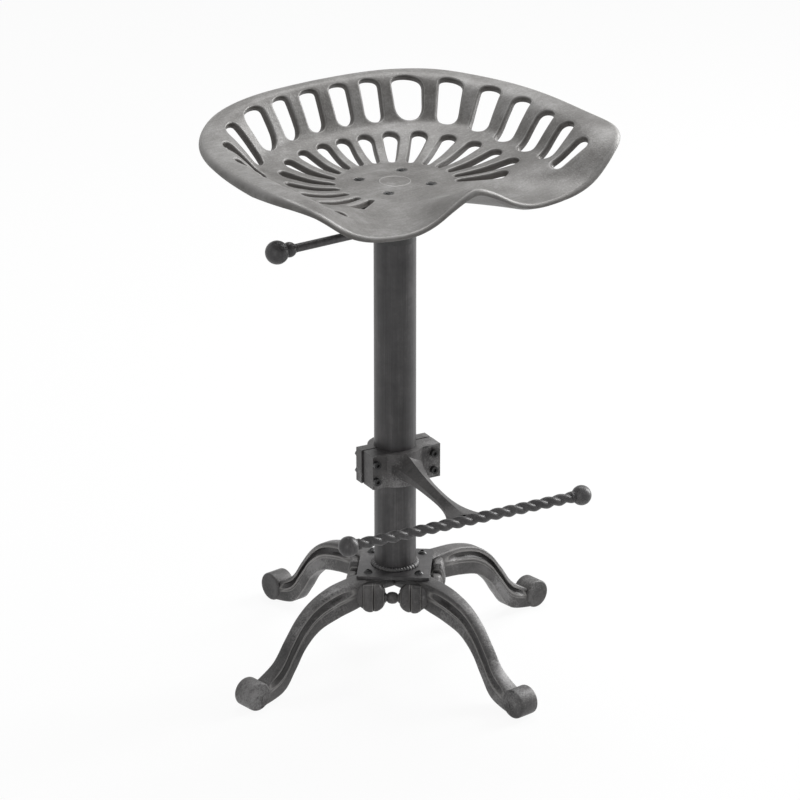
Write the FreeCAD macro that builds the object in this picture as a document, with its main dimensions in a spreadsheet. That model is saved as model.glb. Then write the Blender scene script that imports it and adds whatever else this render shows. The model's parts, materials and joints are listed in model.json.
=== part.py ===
import FreeCAD, Part
import Sketcher
import math
import os
import re

from FreeCAD import Placement, Rotation, Vector

# The stool stands on the floor at z = 0, with the column on the Z axis.
# The sitter faces -Y, so +X is the sitter's left side. Sizes are millimetres.

DIMENSIONS = {
    # how the base and the footrest are turned from the seat, in degrees
    "base_turn": 6.3,
    "footrest_turn": -6.0,
    # base plate and its screws
    "plate_top": 121.0,
    "plate_thick": 4.0,
    "plate_side": 87.0,
    "plate_corner": 3.0,
    "plate_bore": 12.0,
    "plate_screw_offset": 30.5,
    "plate_screw_head": 5.5,
    "plate_screw_dome": 3.6,
    "plate_screw_length": 18.0,
    "screw_shank": 3.0,
    "screw_hole": 3.3,
    # legs
    "leg_half_width": 9.0,
    "leg_pad_half_width": 12.0,
    "leg_pad_start": 13.5,
    "leg_pad_end": 72.0,
    "leg_pad_thick": 20.0,
    "leg_groove_depth": 2.0,
    "foot_roll": 17.5,
    "foot_reach": 223.0,
    "foot_half_width": 13.0,
    "foot_flat": 0.5,
    "tie_circle": 50.0,
    "tie_height": 97.0,
    "tie_barrel": 7.0,
    "tie_half_length": 8.5,
    "tie_stud": 3.0,
    "tie_stud_reach": 18.0,
    "lug_half_depth": 9.0,
    # column
    "column_radius": 25.0,
    "column_wall": 2.5,
    "column_top": 533.0,
    "weld_leg": 5.0,
    "bush_flange": 7.0,
    "bush_sleeve": 70.0,
    # gas spring
    "cylinder_radius": 14.0,
    "cylinder_wall": 1.5,
    "cylinder_bottom": 150.0,
    "cylinder_top": 578.0,
    "taper_start": 541.0,
    "taper_top_radius": 13.0,
    "cylinder_plug": 18.0,
    "guide_length": 15.0,
    "rod_radius": 5.0,
    "rod_end": 117.5,
    "rod_groove": 4.0,
    "piston_top": 552.0,
    "piston_length": 12.0,
    "running_gap": 0.05,
    "cup_thick": 10.0,
    "race_thick": 1.5,
    "race_inner": 5.4,
    "race_outer": 12.0,
    "ball_radius": 1.75,
    "ball_circle": 8.6,
    "ball_count": 12,
    "shoulder_radius": 8.0,
    "shoulder_thick": 4.5,
    "clip_radius": 9.0,
    "clip_thick": 1.3,
    "valve_pin": 3.0,
    "valve_pin_top": 583.2,
    # seat hub
    "hub_radius": 26.0,
    "hub_lip_radius": 26.6,
    "hub_lip": 5.0,
    "hub_bottom": 541.0,
    "hub_flange_side": 84.0,
    "hub_flange_thick": 6.0,
    "hub_cavity": 15.5,
    "hub_rib_half_width": 3.0,
    "hub_slot_half_width": 4.6,
    "hub_slot_floor": 574.0,
    "seat_screw_offset": 30.0,
    "seat_screw_head": 6.0,
    "nut_radius": 5.8,
    "nut_thick": 5.0,
    # release lever
    "lever_height": 550.0,
    "lever_rod": 5.0,
    "lever_ball": 13.9,
    "lever_ball_reach": 164.0,
    "lever_bead": 9.0,
    "lever_bead_reach": 147.5,
    "lever_half_width": 4.0,
    "pivot_reach": 34.0,
    "pivot_height": 580.0,
    "pivot_pin": 3.0,
    # seat casting
    "seat_top": 604.0,
    "seat_thick": 8.0,
    "seat_disc": 66.0,
    "seat_half_width": 230.0,
    "seat_back": 167.0,
    "seat_front": 160.0,
    "seat_widest": 59.0,
    "seat_back_power": 2.75,
    "seat_front_power": 4.6,
    "seat_ring_mark": 18.0,
    # footrest
    "clamp_height": 254.0,
    "clamp_half_height": 21.0,
    "clamp_half_width": 48.0,
    "clamp_depth": 24.0,
    "clamp_back_depth": 14.0,
    "clamp_split": 1.0,
    "clamp_fit": 0.05,
    "clamp_screw_offset": 38.5,
    "clamp_screw_spacing": 21.4,
    "clamp_screw_head": 4.6,
    "clamp_screw_head_thick": 4.6,
    "bar_reach": 172.0,
    "bar_height": 241.0,
    "bar_half_length": 155.0,
    "bar_radius": 7.2,
    "bar_ball": 12.0,
}

doc = FreeCAD.newDocument("TractorSeatStool")
sheet = doc.addObject("Spreadsheet::Sheet", "Dimensions")
for row, (alias, number) in enumerate(DIMENSIONS.items(), start=1):
    sheet.set(f"A{row}", alias)
    sheet.set(f"B{row}", str(number))
    sheet.setAlias(f"B{row}", alias)
doc.recompute()


class SheetValues:
    """Reads a driving dimension back from the sheet as a float."""

    def __getattr__(self, alias):
        return float(sheet.get(alias))


size = SheetValues()
parts = []


# Helpers that make objects bound to the sheet

def bound(text):
    """Turns a sum of aliases into an expression on the sheet's cells."""
    return re.sub(r"[a-z]\w*", lambda word: "Dimensions." + word.group(0), text)


def bind(thing, **properties):
    for name, text in properties.items():
        thing.setExpression(name.replace("__", "."), bound(str(text)))


def put(thing, x=None, y=None, z=None):
    for axis, text in (("x", x), ("y", y), ("z", z)):
        if text is not None:
            thing.setExpression(f"Placement.Base.{axis}", bound(str(text)))


def cylinder(name, radius, height, x=None, y=None, z=None):
    thing = doc.addObject("Part::Cylinder", name)
    bind(thing, Radius=radius, Height=height)
    put(thing, x, y, z)
    return thing


def cone(name, lower, upper, height, x=None, y=None, z=None):
    thing = doc.addObject("Part::Cone", name)
    bind(thing, Radius1=lower, Radius2=upper, Height=height)
    put(thing, x, y, z)
    return thing


def sphere(name, radius, x=None, y=None, z=None):
    thing = doc.addObject("Part::Sphere", name)
    bind(thing, Radius=radius)
    put(thing, x, y, z)
    return thing


def box(name, length, width, height, x=None, y=None, z=None):
    thing = doc.addObject("Part::Box", name)
    bind(thing, Length=length, Width=width, Height=height)
    put(thing, x, y, z)
    return thing


def hexagon(name, radius, height, x=None, y=None, z=None):
    thing = doc.addObject("Part::Prism", name)
    thing.Polygon = 6
    bind(thing, Circumradius=radius, Height=height)
    put(thing, x, y, z)
    return thing


def fuse(name, *pieces):
    thing = doc.addObject("Part::MultiFuse", name)
    thing.Shapes = list(pieces)
    return thing


def cut(name, base, tool):
    thing = doc.addObject("Part::Cut", name)
    thing.Base = base
    thing.Tool = tool
    return thing


def finished(thing, label, turn=None):
    """Names an object as a sub-part and turns it about the column."""
    thing.Label = label
    if turn:
        thing.setExpression("Placement.Rotation.Angle", bound(turn))
        thing.Placement.Rotation.Axis = Vector(0, 0, 1)
    parts.append(thing)
    return thing


def feature(label, shape, turn=0.0):
    """Keeps a shape made with Part's own functions as a sub-part."""
    thing = doc.addObject("Part::Feature", label)
    thing.Shape = shape
    thing.Placement = Placement(Vector(0, 0, 0), Rotation(Vector(0, 0, 1), turn))
    thing.Label = label
    parts.append(thing)
    return thing


def set_of(label, pattern, places, turn=0.0):
    """Keeps copies of one fastener as separate solids in one sub-part."""
    doc.recompute()
    copies = []
    for place in places:
        copy = pattern.Shape.copy()
        copy.Placement = place.multiply(copy.Placement)
        copies.append(copy)
    return feature(label, Part.makeCompound(copies), turn)


def at(x, y, z, axis=(0, 0, 1), angle=0.0):
    return Placement(Vector(x, y, z), Rotation(Vector(*axis), angle))


def square_places(offset, z):
    return [at(x * offset, y * offset, z) for x in (-1, 1) for y in (-1, 1)]


def plane_of(body, role):
    return next(item for item in body.Origin.OriginFeatures if item.Role == role)


def sketch_in(body, name, role):
    sketch = body.newObject("Sketcher::SketchObject", name)
    sketch.AttachmentSupport = [(plane_of(body, role), "")]
    sketch.MapMode = "FlatFace"
    return sketch


def draw_circle(sketch, radius, name, x=None, y=None):
    index = sketch.addGeometry(Part.Circle(Vector(0, 0, 0), Vector(0, 0, 1), 10.0))
    number = sketch.addConstraint(Sketcher.Constraint("Radius", index, 10.0))
    sketch.renameConstraint(number, name)
    sketch.setExpression(f"Constraints.{name}", bound(radius))
    for axis, text in (("DistanceX", x), ("DistanceY", y)):
        if text is None:
            continue
        number = sketch.addConstraint(Sketcher.Constraint(axis, -1, 1, index, 3, 5.0))
        sketch.renameConstraint(number, name + axis)
        sketch.setExpression(f"Constraints.{name}{axis}", bound(text))
    if x is None and y is None:
        sketch.addConstraint(Sketcher.Constraint("Coincident", index, 3, -1, 1))
    return index


def draw_square(sketch, side, name):
    half = 10.0
    corners = [Vector(-half, -half, 0), Vector(half, -half, 0), Vector(half, half, 0), Vector(-half, half, 0)]
    lines = []
    for number in range(4):
        line = Part.LineSegment(corners[number], corners[(number + 1) % 4])
        lines.append(sketch.addGeometry(line))
    for number in range(4):
        following = lines[(number + 1) % 4]
        sketch.addConstraint(Sketcher.Constraint("Coincident", lines[number], 2, following, 1))
    for number in (0, 2):
        sketch.addConstraint(Sketcher.Constraint("Horizontal", lines[number]))
    for number in (1, 3):
        sketch.addConstraint(Sketcher.Constraint("Vertical", lines[number]))
    sketch.addConstraint(Sketcher.Constraint("Symmetric", lines[0], 1, lines[2], 1, -1, 1))
    for axis, line in (("DistanceX", lines[0]), ("DistanceY", lines[1])):
        number = sketch.addConstraint(Sketcher.Constraint(axis, line, 1, line, 2, 2 * half))
        sketch.renameConstraint(number, name + axis)
        sketch.setExpression(f"Constraints.{name}{axis}", bound(side))


def pad(body, sketch, length):
    thing = body.newObject("PartDesign::Pad", sketch.Name + "Pad")
    thing.Profile = sketch
    bind(thing, Length=length)
    return thing


# Curves used by the cast pieces

def spline_edge(points):
    curve = Part.BSplineCurve()
    curve.interpolate([Vector(*point) for point in points])
    return curve.toShape()


def smooth(stations, values, place):
    """Monotone cubic through the stations: flat at every local extreme."""
    count = len(stations)
    steps = [stations[k + 1] - stations[k] for k in range(count - 1)]
    slopes = [(values[k + 1] - values[k]) / steps[k] for k in range(count - 1)]
    tangents = [slopes[0]] + [0.0] * (count - 2) + [slopes[-1]]
    for k in range(1, count - 1):
        if slopes[k - 1] * slopes[k] > 0:
            before = 2 * steps[k] + steps[k - 1]
            after = steps[k] + 2 * steps[k - 1]
            tangents[k] = (before + after) / (before / slopes[k - 1] + after / slopes[k])
    place = min(max(place, stations[0]), stations[-1])
    k = max(index for index in range(count - 1) if stations[index] <= place)
    part = (place - stations[k]) / steps[k]
    return (
        (1 + 2 * part) * (1 - part) ** 2 * values[k]
        + part * (1 - part) ** 2 * steps[k] * tangents[k]
        + part ** 2 * (3 - 2 * part) * values[k + 1]
        + part ** 2 * (part - 1) * steps[k] * tangents[k + 1]
    )


# Cast legs: each lies along +X, with its pad under the base plate

LEG_TOP = [(72, 117), (100, 115), (128, 106), (150, 90), (168, 68), (186, 43), (208, 26)]
LEG_BOTTOM = [(60, 85), (96, 79), (126, 71), (148, 54), (164, 31), (184, 9), (212, 0.5)]
LEG_GROOVE_UPPER = [(84, 111), (103, 109), (125, 101), (145, 86), (162, 65), (180, 41), (193, 29)]
LEG_GROOVE_LOWER = [(84, 105), (102, 103), (121, 95), (139, 81), (156, 60), (174, 37), (189, 24)]


def prism(points, y_from, y_to):
    """A closed outline in the XZ plane, extruded along Y."""
    edges = Part.makePolygon([Vector(x, y_from, z) for x, z in points + points[:1]])
    return Part.Face(edges).extrude(Vector(0, y_to - y_from, 0))


def curved_band(upper, lower, y_from, y_to):
    """The band between two splines in the XZ plane, extruded along Y."""
    top = spline_edge([(x, y_from, z) for x, z in upper])
    bottom = spline_edge([(x, y_from, z) for x, z in reversed(lower)])
    end = Part.makeLine(top.Vertexes[-1].Point, bottom.Vertexes[0].Point)
    start = Part.makeLine(bottom.Vertexes[-1].Point, top.Vertexes[0].Point)
    return Part.Face(Part.Wire([top, end, bottom, start])).extrude(Vector(0, y_to - y_from, 0))


def leg_lug(side):
    """A fluted lug that reaches from the leg's side to the tie between two legs."""
    near = -size.tie_half_length
    outline = [(-46, 113), (-15, 114), (near, 105), (near, 90), (-14, 84), (-24, 81), (-35, 83), (-46, 90)]
    depth = size.lug_half_depth
    lug = prism(outline, -depth, depth)
    stud = Part.makeCylinder(
        size.tie_stud, size.tie_stud_reach, Vector(near + 0.01, 0, size.tie_height), Vector(-1, 0, 0)
    )
    lug = lug.cut(stud)
    # the outline's X runs across the line between two legs, and its Y along it
    lug.Placement = Placement(Vector(0, 0, 0), Rotation(Vector(0, 0, 1), -90.0))
    lug.translate(Vector(size.tie_circle, 0, 0))
    if side > 0:
        turned = lug.copy()
    else:
        turned = lug.mirror(Vector(0, 0, 0), Vector(0, 1, 0))
    turned.rotate(Vector(0, 0, 0), Vector(0, 0, 1), -side * 45.0)
    return turned


def leg_shape():
    half = size.leg_half_width
    pad_half = size.leg_pad_half_width
    under = size.plate_top - size.plate_thick
    pad_floor = under - size.leg_pad_thick
    blade = curved_band(LEG_TOP, LEG_BOTTOM, -half, half)
    pad_block = Part.makeBox(
        size.leg_pad_end - size.leg_pad_start, 2 * pad_half, size.leg_pad_thick,
        Vector(size.leg_pad_start, -pad_half, pad_floor),
    )
    root = prism([(50, under), (74, under), (84, 113), (84, 84), (58, 84), (50, 98)], -half, half)
    roll = Part.makeCylinder(
        size.foot_roll, 2 * size.foot_half_width,
        Vector(size.foot_reach, -size.foot_half_width, size.foot_roll - size.foot_flat),
        Vector(0, 1, 0),
    )
    leg = blade.fuse([pad_block, root, roll, leg_lug(1), leg_lug(-1)])
    floor = Part.makeBox(400, 400, 20, Vector(0, -200, -20))
    screw_hole = Part.makeCylinder(
        size.screw_shank, size.plate_screw_length, Vector(plate_screw_circle(), 0, under),
        Vector(0, 0, -1),
    )
    groove_floor = half - size.leg_groove_depth
    grooves = [
        curved_band(LEG_GROOVE_UPPER, LEG_GROOVE_LOWER, side * groove_floor, side * (half + 5))
        for side in (-1, 1)
    ]
    return leg.cut([floor, screw_hole] + grooves).removeSplitter()


def plate_screw_circle():
    return math.hypot(size.plate_screw_offset, size.plate_screw_offset)


def make_legs():
    shape = leg_shape()
    for label, direction in (("leg_front", -90), ("leg_left", 0), ("leg_rear", 90), ("leg_right", 180)):
        feature(label, shape, direction + size.base_turn)


def make_ties():
    """A stud with a barrel between each two legs."""
    barrel = cylinder("TieBarrel", "tie_barrel", "2 * tie_half_length", z="-tie_half_length")
    stud = cylinder(
        "TieStud", "tie_stud", "2 * (tie_half_length + tie_stud_reach)",
        z="-tie_half_length - tie_stud_reach",
    )
    pattern = fuse("TiePattern", barrel, stud)
    places = []
    for quarter in range(4):
        turn = 45.0 + 90.0 * quarter
        spin = Placement(Vector(0, 0, 0), Rotation(Vector(0, 0, 1), turn))
        places.append(spin.multiply(at(size.tie_circle, 0, size.tie_height, (1, 0, 0), 90.0)))
    set_of("leg_ties", pattern, places, size.base_turn)


# Base plate with its screws

def make_base_plate():
    body = doc.addObject("PartDesign::Body", "BasePlate")
    outline = sketch_in(body, "PlateOutline", "XY_Plane")
    draw_square(outline, "plate_side", "side")
    slab = pad(body, outline, "plate_thick")
    doc.recompute()
    upright = [
        f"Edge{number}" for number, edge in enumerate(slab.Shape.Edges, start=1)
        if abs(edge.tangentAt(edge.FirstParameter).z) > 0.9
    ]
    corners = body.newObject("PartDesign::Fillet", "PlateCorners")
    corners.Base = (slab, upright)
    bind(corners, Radius="plate_corner")
    doc.recompute()
    centre = sketch_in(body, "PlateCentre", "XY_Plane")
    draw_circle(centre, "plate_bore", "bore")
    hollow = body.newObject("PartDesign::Pocket", "PlateBore")
    hollow.Profile = centre
    hollow.Type = "ThroughAll"
    hollow.Midplane = True
    first = sketch_in(body, "PlateScrewHole", "XY_Plane")
    draw_circle(first, "screw_hole", "hole", "plate_screw_offset", "plate_screw_offset")
    drilled = body.newObject("PartDesign::Pocket", "PlateHole")
    drilled.Profile = first
    drilled.Type = "ThroughAll"
    drilled.Midplane = True
    ring = body.newObject("PartDesign::PolarPattern", "PlateHoles")
    ring.Originals = [drilled]
    ring.Axis = (plane_of(body, "Z_Axis"), [""])
    ring.Angle = 360.0
    ring.Occurrences = 4
    body.Tip = ring
    put(body, z="plate_top - plate_thick")
    # the plate's corners point along the legs
    body.Placement = at(0, 0, size.plate_top - size.plate_thick, (0, 0, 1), 45.0 + size.base_turn)
    body.Label = "base_plate"
    parts.append(body)


def button_head(name, radius, dome):
    """A low dome with a hexagon socket, standing on z = 0."""
    ball = sphere(name + "Ball", f"({radius} * {radius} + {dome} * {dome}) / (2 * {dome})",
                  z=f"{dome} - ({radius} * {radius} + {dome} * {dome}) / (2 * {dome})")
    limit = cylinder(name + "Limit", radius, dome)
    head = doc.addObject("Part::Common", name + "Head")
    head.Base = ball
    head.Tool = limit
    return head


def make_plate_screws():
    head = button_head("PlateScrew", "plate_screw_head", "plate_screw_dome")
    socket = hexagon("PlateScrewSocket", "plate_screw_head * 0.42", "plate_screw_dome",
                     z="plate_screw_dome * 0.4")
    shank = cylinder("PlateScrewShank", "screw_shank", "plate_screw_length", z="-plate_screw_length")
    pattern = fuse("PlateScrewPattern", cut("PlateScrewDrive", head, socket), shank)
    places = []
    for quarter in range(4):
        spin = Placement(Vector(0, 0, 0), Rotation(Vector(0, 0, 1), 90.0 * quarter))
        places.append(spin.multiply(at(plate_screw_circle(), 0, size.plate_top)))
    set_of("plate_screws", pattern, places, size.base_turn)


# Column, its weld and its bushes

def make_column():
    body = doc.addObject("PartDesign::Body", "ColumnTube")
    ring = sketch_in(body, "ColumnSection", "XY_Plane")
    draw_circle(ring, "column_radius", "outer")
    draw_circle(ring, "column_radius - column_wall", "inner")
    pad(body, ring, "column_top - plate_top")
    put(body, z="plate_top")
    body.Label = "column_tube"
    parts.append(body)


def make_weld():
    bead = cone("WeldBead", "column_radius + weld_leg", "column_radius + 0.3", "weld_leg", z="plate_top")
    core = cylinder("WeldCore", "column_radius", "2 * weld_leg", z="plate_top - weld_leg / 2")
    finished(cut("ColumnWeld", bead, core), "column_weld")


def make_top_bush():
    flange = cylinder("BushFlange", "column_radius", "bush_flange", z="column_top")
    sleeve = cylinder("BushSleeve", "column_radius - column_wall - running_gap", "bush_sleeve",
                      z="column_top - bush_sleeve")
    bore = cylinder("BushBore", "cylinder_radius + running_gap", "2 * bush_sleeve",
                    z="column_top - bush_sleeve - 10")
    finished(cut("TopBush", fuse("BushBody", flange, sleeve), bore), "top_bush")


def make_bottom_cup():
    disc = cylinder("CupDisc", "column_radius - column_wall - running_gap", "cup_thick", z="plate_top")
    bore = cylinder("CupBore", "rod_radius + running_gap", "2 * cup_thick", z="plate_top - cup_thick / 2")
    finished(cut("BottomCup", disc, bore), "bottom_cup")


def make_race(name, label, height):
    ring = cylinder(name + "Ring", "race_outer", "race_thick", z=height)
    bore = cylinder(name + "Bore", "race_inner", "3 * race_thick", z=f"{height} - race_thick")
    finished(cut(name, ring, bore), label)


def make_thrust_bearing():
    """Two races with a ring of balls, which carry the seat's turning."""
    lower = "plate_top + cup_thick"
    make_race("LowerRace", "thrust_race_lower", lower)
    make_race("UpperRace", "thrust_race_upper", f"{lower} + race_thick + 2 * ball_radius + running_gap")
    middle = size.plate_top + size.cup_thick + size.race_thick + size.ball_radius
    ball = sphere("BearingBall", "ball_radius")
    count = int(size.ball_count)
    places = []
    for number in range(count):
        angle = 2 * math.pi * number / count
        places.append(at(size.ball_circle * math.cos(angle), size.ball_circle * math.sin(angle), middle))
    set_of("thrust_balls", ball, places)
    plate = cylinder("CageRing", "race_outer - 0.4", "1.0", z=f"{lower} + race_thick + ball_radius - 0.5")
    bore = cylinder("CageBore", "race_inner + 0.4", "4.0", z=f"{lower} + race_thick + ball_radius - 2")
    doc.recompute()
    cage = plate.Shape.cut(bore.Shape)
    pockets = []
    for place in places:
        pocket = Part.makeCylinder(size.ball_radius + size.running_gap, 4.0, place.Base - Vector(0, 0, 2))
        pockets.append(pocket)
    feature("ball_cage", cage.cut(pockets))


# Gas spring

def make_piston_rod():
    shoulder_floor = (
        "plate_top + cup_thick + 2 * race_thick + 2 * ball_radius + 2 * running_gap"
    )
    rod = cylinder("RodBar", "rod_radius", "piston_top - rod_end", z="rod_end")
    shoulder = cylinder("RodShoulder", "shoulder_radius", "shoulder_thick", z=shoulder_floor)
    whole = fuse("RodWhole", rod, shoulder)
    groove = cut(
        "RodGrooveRing",
        cylinder("RodGrooveOuter", "2 * rod_radius", "clip_thick + 0.2", z="plate_top - clip_thick - 0.3"),
        cylinder("RodGrooveCore", "rod_groove", "4 * clip_thick", z="plate_top - 3 * clip_thick"),
    )
    finished(cut("PistonRod", whole, groove), "piston_rod")
    ring = cylinder("ClipRing", "clip_radius", "clip_thick", z="plate_top - clip_thick - 0.2")
    bore = cylinder("ClipBore", "rod_groove + 0.02", "3 * clip_thick", z="plate_top - 3 * clip_thick")
    finished(cut("RetainingClip", ring, bore), "retaining_clip")


def make_piston():
    inner = "cylinder_radius - cylinder_wall"
    disc = cylinder("PistonDisc", f"{inner} - running_gap", "piston_length", z="piston_top - piston_length")
    bore = cylinder("PistonBore", "rod_radius + 0.01", "2 * piston_length",
                    z="piston_top - 1.5 * piston_length")
    groove = cut(
        "PistonGroove",
        cylinder("PistonGrooveOuter", "cylinder_radius", "3.2", z="piston_top - piston_length / 2 - 1.6"),
        cylinder("PistonGrooveCore", f"{inner} - 2", "6", z="piston_top - piston_length / 2 - 3"),
    )
    finished(cut("Piston", cut("PistonBored", disc, bore), groove), "piston")
    ring = cut(
        "PistonRing",
        cylinder("PistonRingOuter", f"{inner} - 0.02", "3", z="piston_top - piston_length / 2 - 1.5"),
        cylinder("PistonRingBore", f"{inner} - 1.95", "6", z="piston_top - piston_length / 2 - 3"),
    )
    finished(ring, "piston_ring")


def make_gas_cylinder():
    """A plain tube whose top is tapered to grip the hub and closed by a valve plug."""
    straight = cylinder("CylinderTube", "cylinder_radius", "taper_start - cylinder_bottom",
                        z="cylinder_bottom")
    taper = cone("CylinderTaper", "cylinder_radius", "taper_top_radius", "cylinder_top - taper_start",
                 z="taper_start")
    inside = cylinder("CylinderInside", "cylinder_radius - cylinder_wall",
                      "cylinder_top - cylinder_plug - cylinder_bottom + 10", z="cylinder_bottom - 10")
    valve = cylinder("ValveBore", "valve_pin + running_gap", "3 * cylinder_plug",
                     z="cylinder_top - 2 * cylinder_plug")
    tube = cut("CylinderHollow", fuse("CylinderOutside", straight, taper), inside)
    finished(cut("GasCylinder", tube, valve), "gas_cylinder")
    guide = cylinder("GuideDisc", "cylinder_radius - cylinder_wall - 0.02", "guide_length",
                     z="cylinder_bottom + 1")
    bore = cylinder("GuideBore", "rod_radius + running_gap", "3 * guide_length",
                    z="cylinder_bottom - guide_length")
    finished(cut("RodGuide", guide, bore), "rod_guide")
    pin = cylinder("ValvePin", "valve_pin", "valve_pin_top - cylinder_top + cylinder_plug - 1",
                   z="cylinder_top - cylinder_plug + 1")
    finished(pin, "valve_pin")


# Seat hub, which grips the gas cylinder and carries the lever

def make_seat_hub():
    under = "seat_top - seat_thick"
    half = "hub_flange_side / 2"
    flange = box("HubFlange", "hub_flange_side", "hub_flange_side", "hub_flange_thick",
                 f"-{half}", f"-{half}", f"{under} - hub_flange_thick")
    boss = cylinder("HubBoss", "hub_radius", f"{under} - hub_bottom", z="hub_bottom")
    lip = cylinder("HubLip", "hub_lip_radius", "hub_lip", z="hub_bottom")
    rib_height = f"{under} - hub_flange_thick - hub_bottom - 12"
    ribs = []
    for name, length, width, x, y in (
        ("HubRibAcross", "hub_flange_side / 2 - 4", "2 * hub_rib_half_width", "0", "-hub_rib_half_width"),
        ("HubRibFront", "2 * hub_rib_half_width", "hub_flange_side / 2 - 4", "-hub_rib_half_width",
         "-hub_flange_side / 2 + 4"),
        ("HubRibBack", "2 * hub_rib_half_width", "hub_flange_side / 2 - 4", "-hub_rib_half_width", "0"),
    ):
        ribs.append(box(name, length, width, rib_height, x, y, "hub_bottom + 12"))
    ear_length = f"{half} - 10"
    ears = [
        box("HubEar" + side, ear_length, "4.5", "pivot_height - hub_bottom - 20",
            f"-{half}", edge, f"{under} - hub_flange_thick - (pivot_height - hub_bottom - 20)")
        for side, edge in (("Near", "-hub_slot_half_width - 4.5"), ("Far", "hub_slot_half_width"))
    ]
    solid = fuse("HubSolid", flange, boss, lip, *ribs, *ears)
    socket = cone("HubSocket", "cylinder_radius + 0.02", "taper_top_radius + 0.02",
                  "cylinder_top - taper_start", z="taper_start")
    cavity = cylinder("HubCavity", "hub_cavity", f"{under} - cylinder_top + 5", z="cylinder_top")
    slot = box("HubSlot", "hub_flange_side / 2", "2 * hub_slot_half_width",
               f"{under} - hub_flange_thick - hub_slot_floor", f"-{half} - 1", "-hub_slot_half_width",
               "hub_slot_floor")
    pivot = cylinder("HubPivotHole", "pivot_pin + 0.02", "40")
    pivot.Placement = at(-size.pivot_reach, -20, size.pivot_height, (1, 0, 0), -90)
    bolts = [
        cylinder(f"HubHole{number}", "screw_hole", "30", x, y, f"{under} - 20")
        for number, (x, y) in enumerate(
            [(f"{a}seat_screw_offset", f"{b}seat_screw_offset") for a in ("", "-") for b in ("", "-")]
        )
    ]
    tools = fuse("HubTools", socket, cavity, slot, pivot, *bolts)
    finished(cut("SeatHub", solid, tools), "seat_hub")


def make_seat_fasteners():
    """Countersunk screws through the seat's disc and the hub's flange, with nuts below."""
    rise = "seat_screw_head - screw_shank"
    length = "seat_thick + hub_flange_thick + nut_thick + 1"
    head = cone("SeatScrewHead", "screw_shank", "seat_screw_head", rise, z=f"-({rise}) - 0.6")
    shank = cylinder("SeatScrewShank", "screw_shank", length, z=f"-({length})")
    slot = box("SeatScrewSlot", "2 * seat_screw_head", "1.4", "2", "-seat_screw_head", "-0.7", "-1.6")
    pattern = cut("SeatScrewPattern", fuse("SeatScrewWhole", head, shank), slot)
    top = size.seat_top
    set_of("seat_screws", pattern, square_places(size.seat_screw_offset, top))
    block = hexagon("SeatNutBlock", "nut_radius", "nut_thick")
    bore = cylinder("SeatNutBore", "screw_shank + 0.02", "3 * nut_thick", z="-nut_thick")
    nut = cut("SeatNutPattern", block, bore)
    below = top - size.seat_thick - size.hub_flange_thick - size.nut_thick
    set_of("seat_nuts", nut, square_places(size.seat_screw_offset, below))


# Release lever

def make_lever():
    """A rocker plate turns on the pivot: lifting the ball presses the valve pin down."""
    reach = size.pivot_reach
    height = size.lever_height
    nose = 2.5
    nose_height = size.valve_pin_top + 0.3 + nose
    half = size.lever_half_width
    outline = [
        (-reach - 6, height - 6), (-reach + 5, height - 6), (-reach + 5, 575), (-24, 581),
        (0, nose_height - nose), (0, nose_height + nose), (-28, 588), (-reach - 3, 588),
        (-reach - 6, 585),
    ]
    rocker = prism(outline, -half, half)
    tip = Part.makeCylinder(nose, 2 * half, Vector(0, -half, nose_height), Vector(0, 1, 0))
    rod_length = size.lever_bead_reach - reach
    rod = Part.makeCylinder(size.lever_rod, rod_length, Vector(-reach, 0, height), Vector(-1, 0, 0))
    bore = Part.makeCylinder(
        size.pivot_pin + size.running_gap, 40, Vector(-reach, -20, size.pivot_height), Vector(0, 1, 0)
    )
    feature("release_lever", rocker.fuse([tip, rod]).cut(bore).removeSplitter())
    pin_half = size.hub_slot_half_width + 5.5
    pin = Part.makeCylinder(
        size.pivot_pin, 2 * pin_half, Vector(-reach, -pin_half, size.pivot_height), Vector(0, 1, 0)
    )
    feature("lever_pin", pin)


def make_lever_knob():
    ball = sphere("KnobBall", "lever_ball", "-lever_ball_reach", z="lever_height")
    bead = sphere("KnobBead", "lever_bead", "-lever_bead_reach", z="lever_height")
    neck = cylinder("KnobNeck", "lever_rod + 1", "lever_ball_reach - lever_bead_reach")
    neck.Placement = at(-size.lever_bead_reach, 0, size.lever_height, (0, 1, 0), -90)
    socket = cylinder("KnobSocket", "lever_rod", "lever_bead * 2")
    socket.Placement = at(-size.lever_bead_reach, 0, size.lever_height, (0, 1, 0), 90)
    finished(cut("LeverKnob", fuse("KnobSolid", ball, bead, neck), socket), "lever_knob")


# Seat casting. Angles run from the back of the seat (0) round to its front (180).

RIM_ANGLES = [0, 25, 45, 65, 85, 105, 117, 125, 133, 142, 151, 160, 170, 180]
RIM_HEIGHTS = [79, 78, 74.5, 66, 61, 58, 57.5, 46, 15, 3, 1, 8.5, 26, 38.5]
WALL_PLACES = [0, 0.2, 0.45, 0.59, 0.72, 0.84, 0.93, 1]
WALL_RISES = [0, 0.08, 0.27, 0.36, 0.68, 0.94, 1, 1]
FRONT_PLACES = [0, 0.25, 0.5, 0.75, 1]
FRONT_RISES = [0, 0.06, 0.3, 0.7, 1]
FRONT_BLEND = (112, 135)
TOP_PLACES = [0, 0.14, 0.28, 0.42, 0.54, 0.65, 0.76, 0.87, 1]
UNDER_PLACES = [0, 0.16, 0.32, 0.46, 0.58, 0.7, 0.82, 0.94]
EDGE_REACH = [9, 9, 9, 9, 9, 9, 8, 7, 5, 4, 4, 4.5, 5, 5]
EDGE_DROP = [11, 11, 10, 10, 10, 13, 10, 7, 7.5, 6, 6, 7, 8, 8]
HOLE_INNER = [9, 25, 42, 58, 73, 88.5, 104, 117, 127.5]
HOLE_OUTER = [8, 23.5, 39, 55.5, 70, 83.5, 97, 108.5, 120.5]
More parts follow.
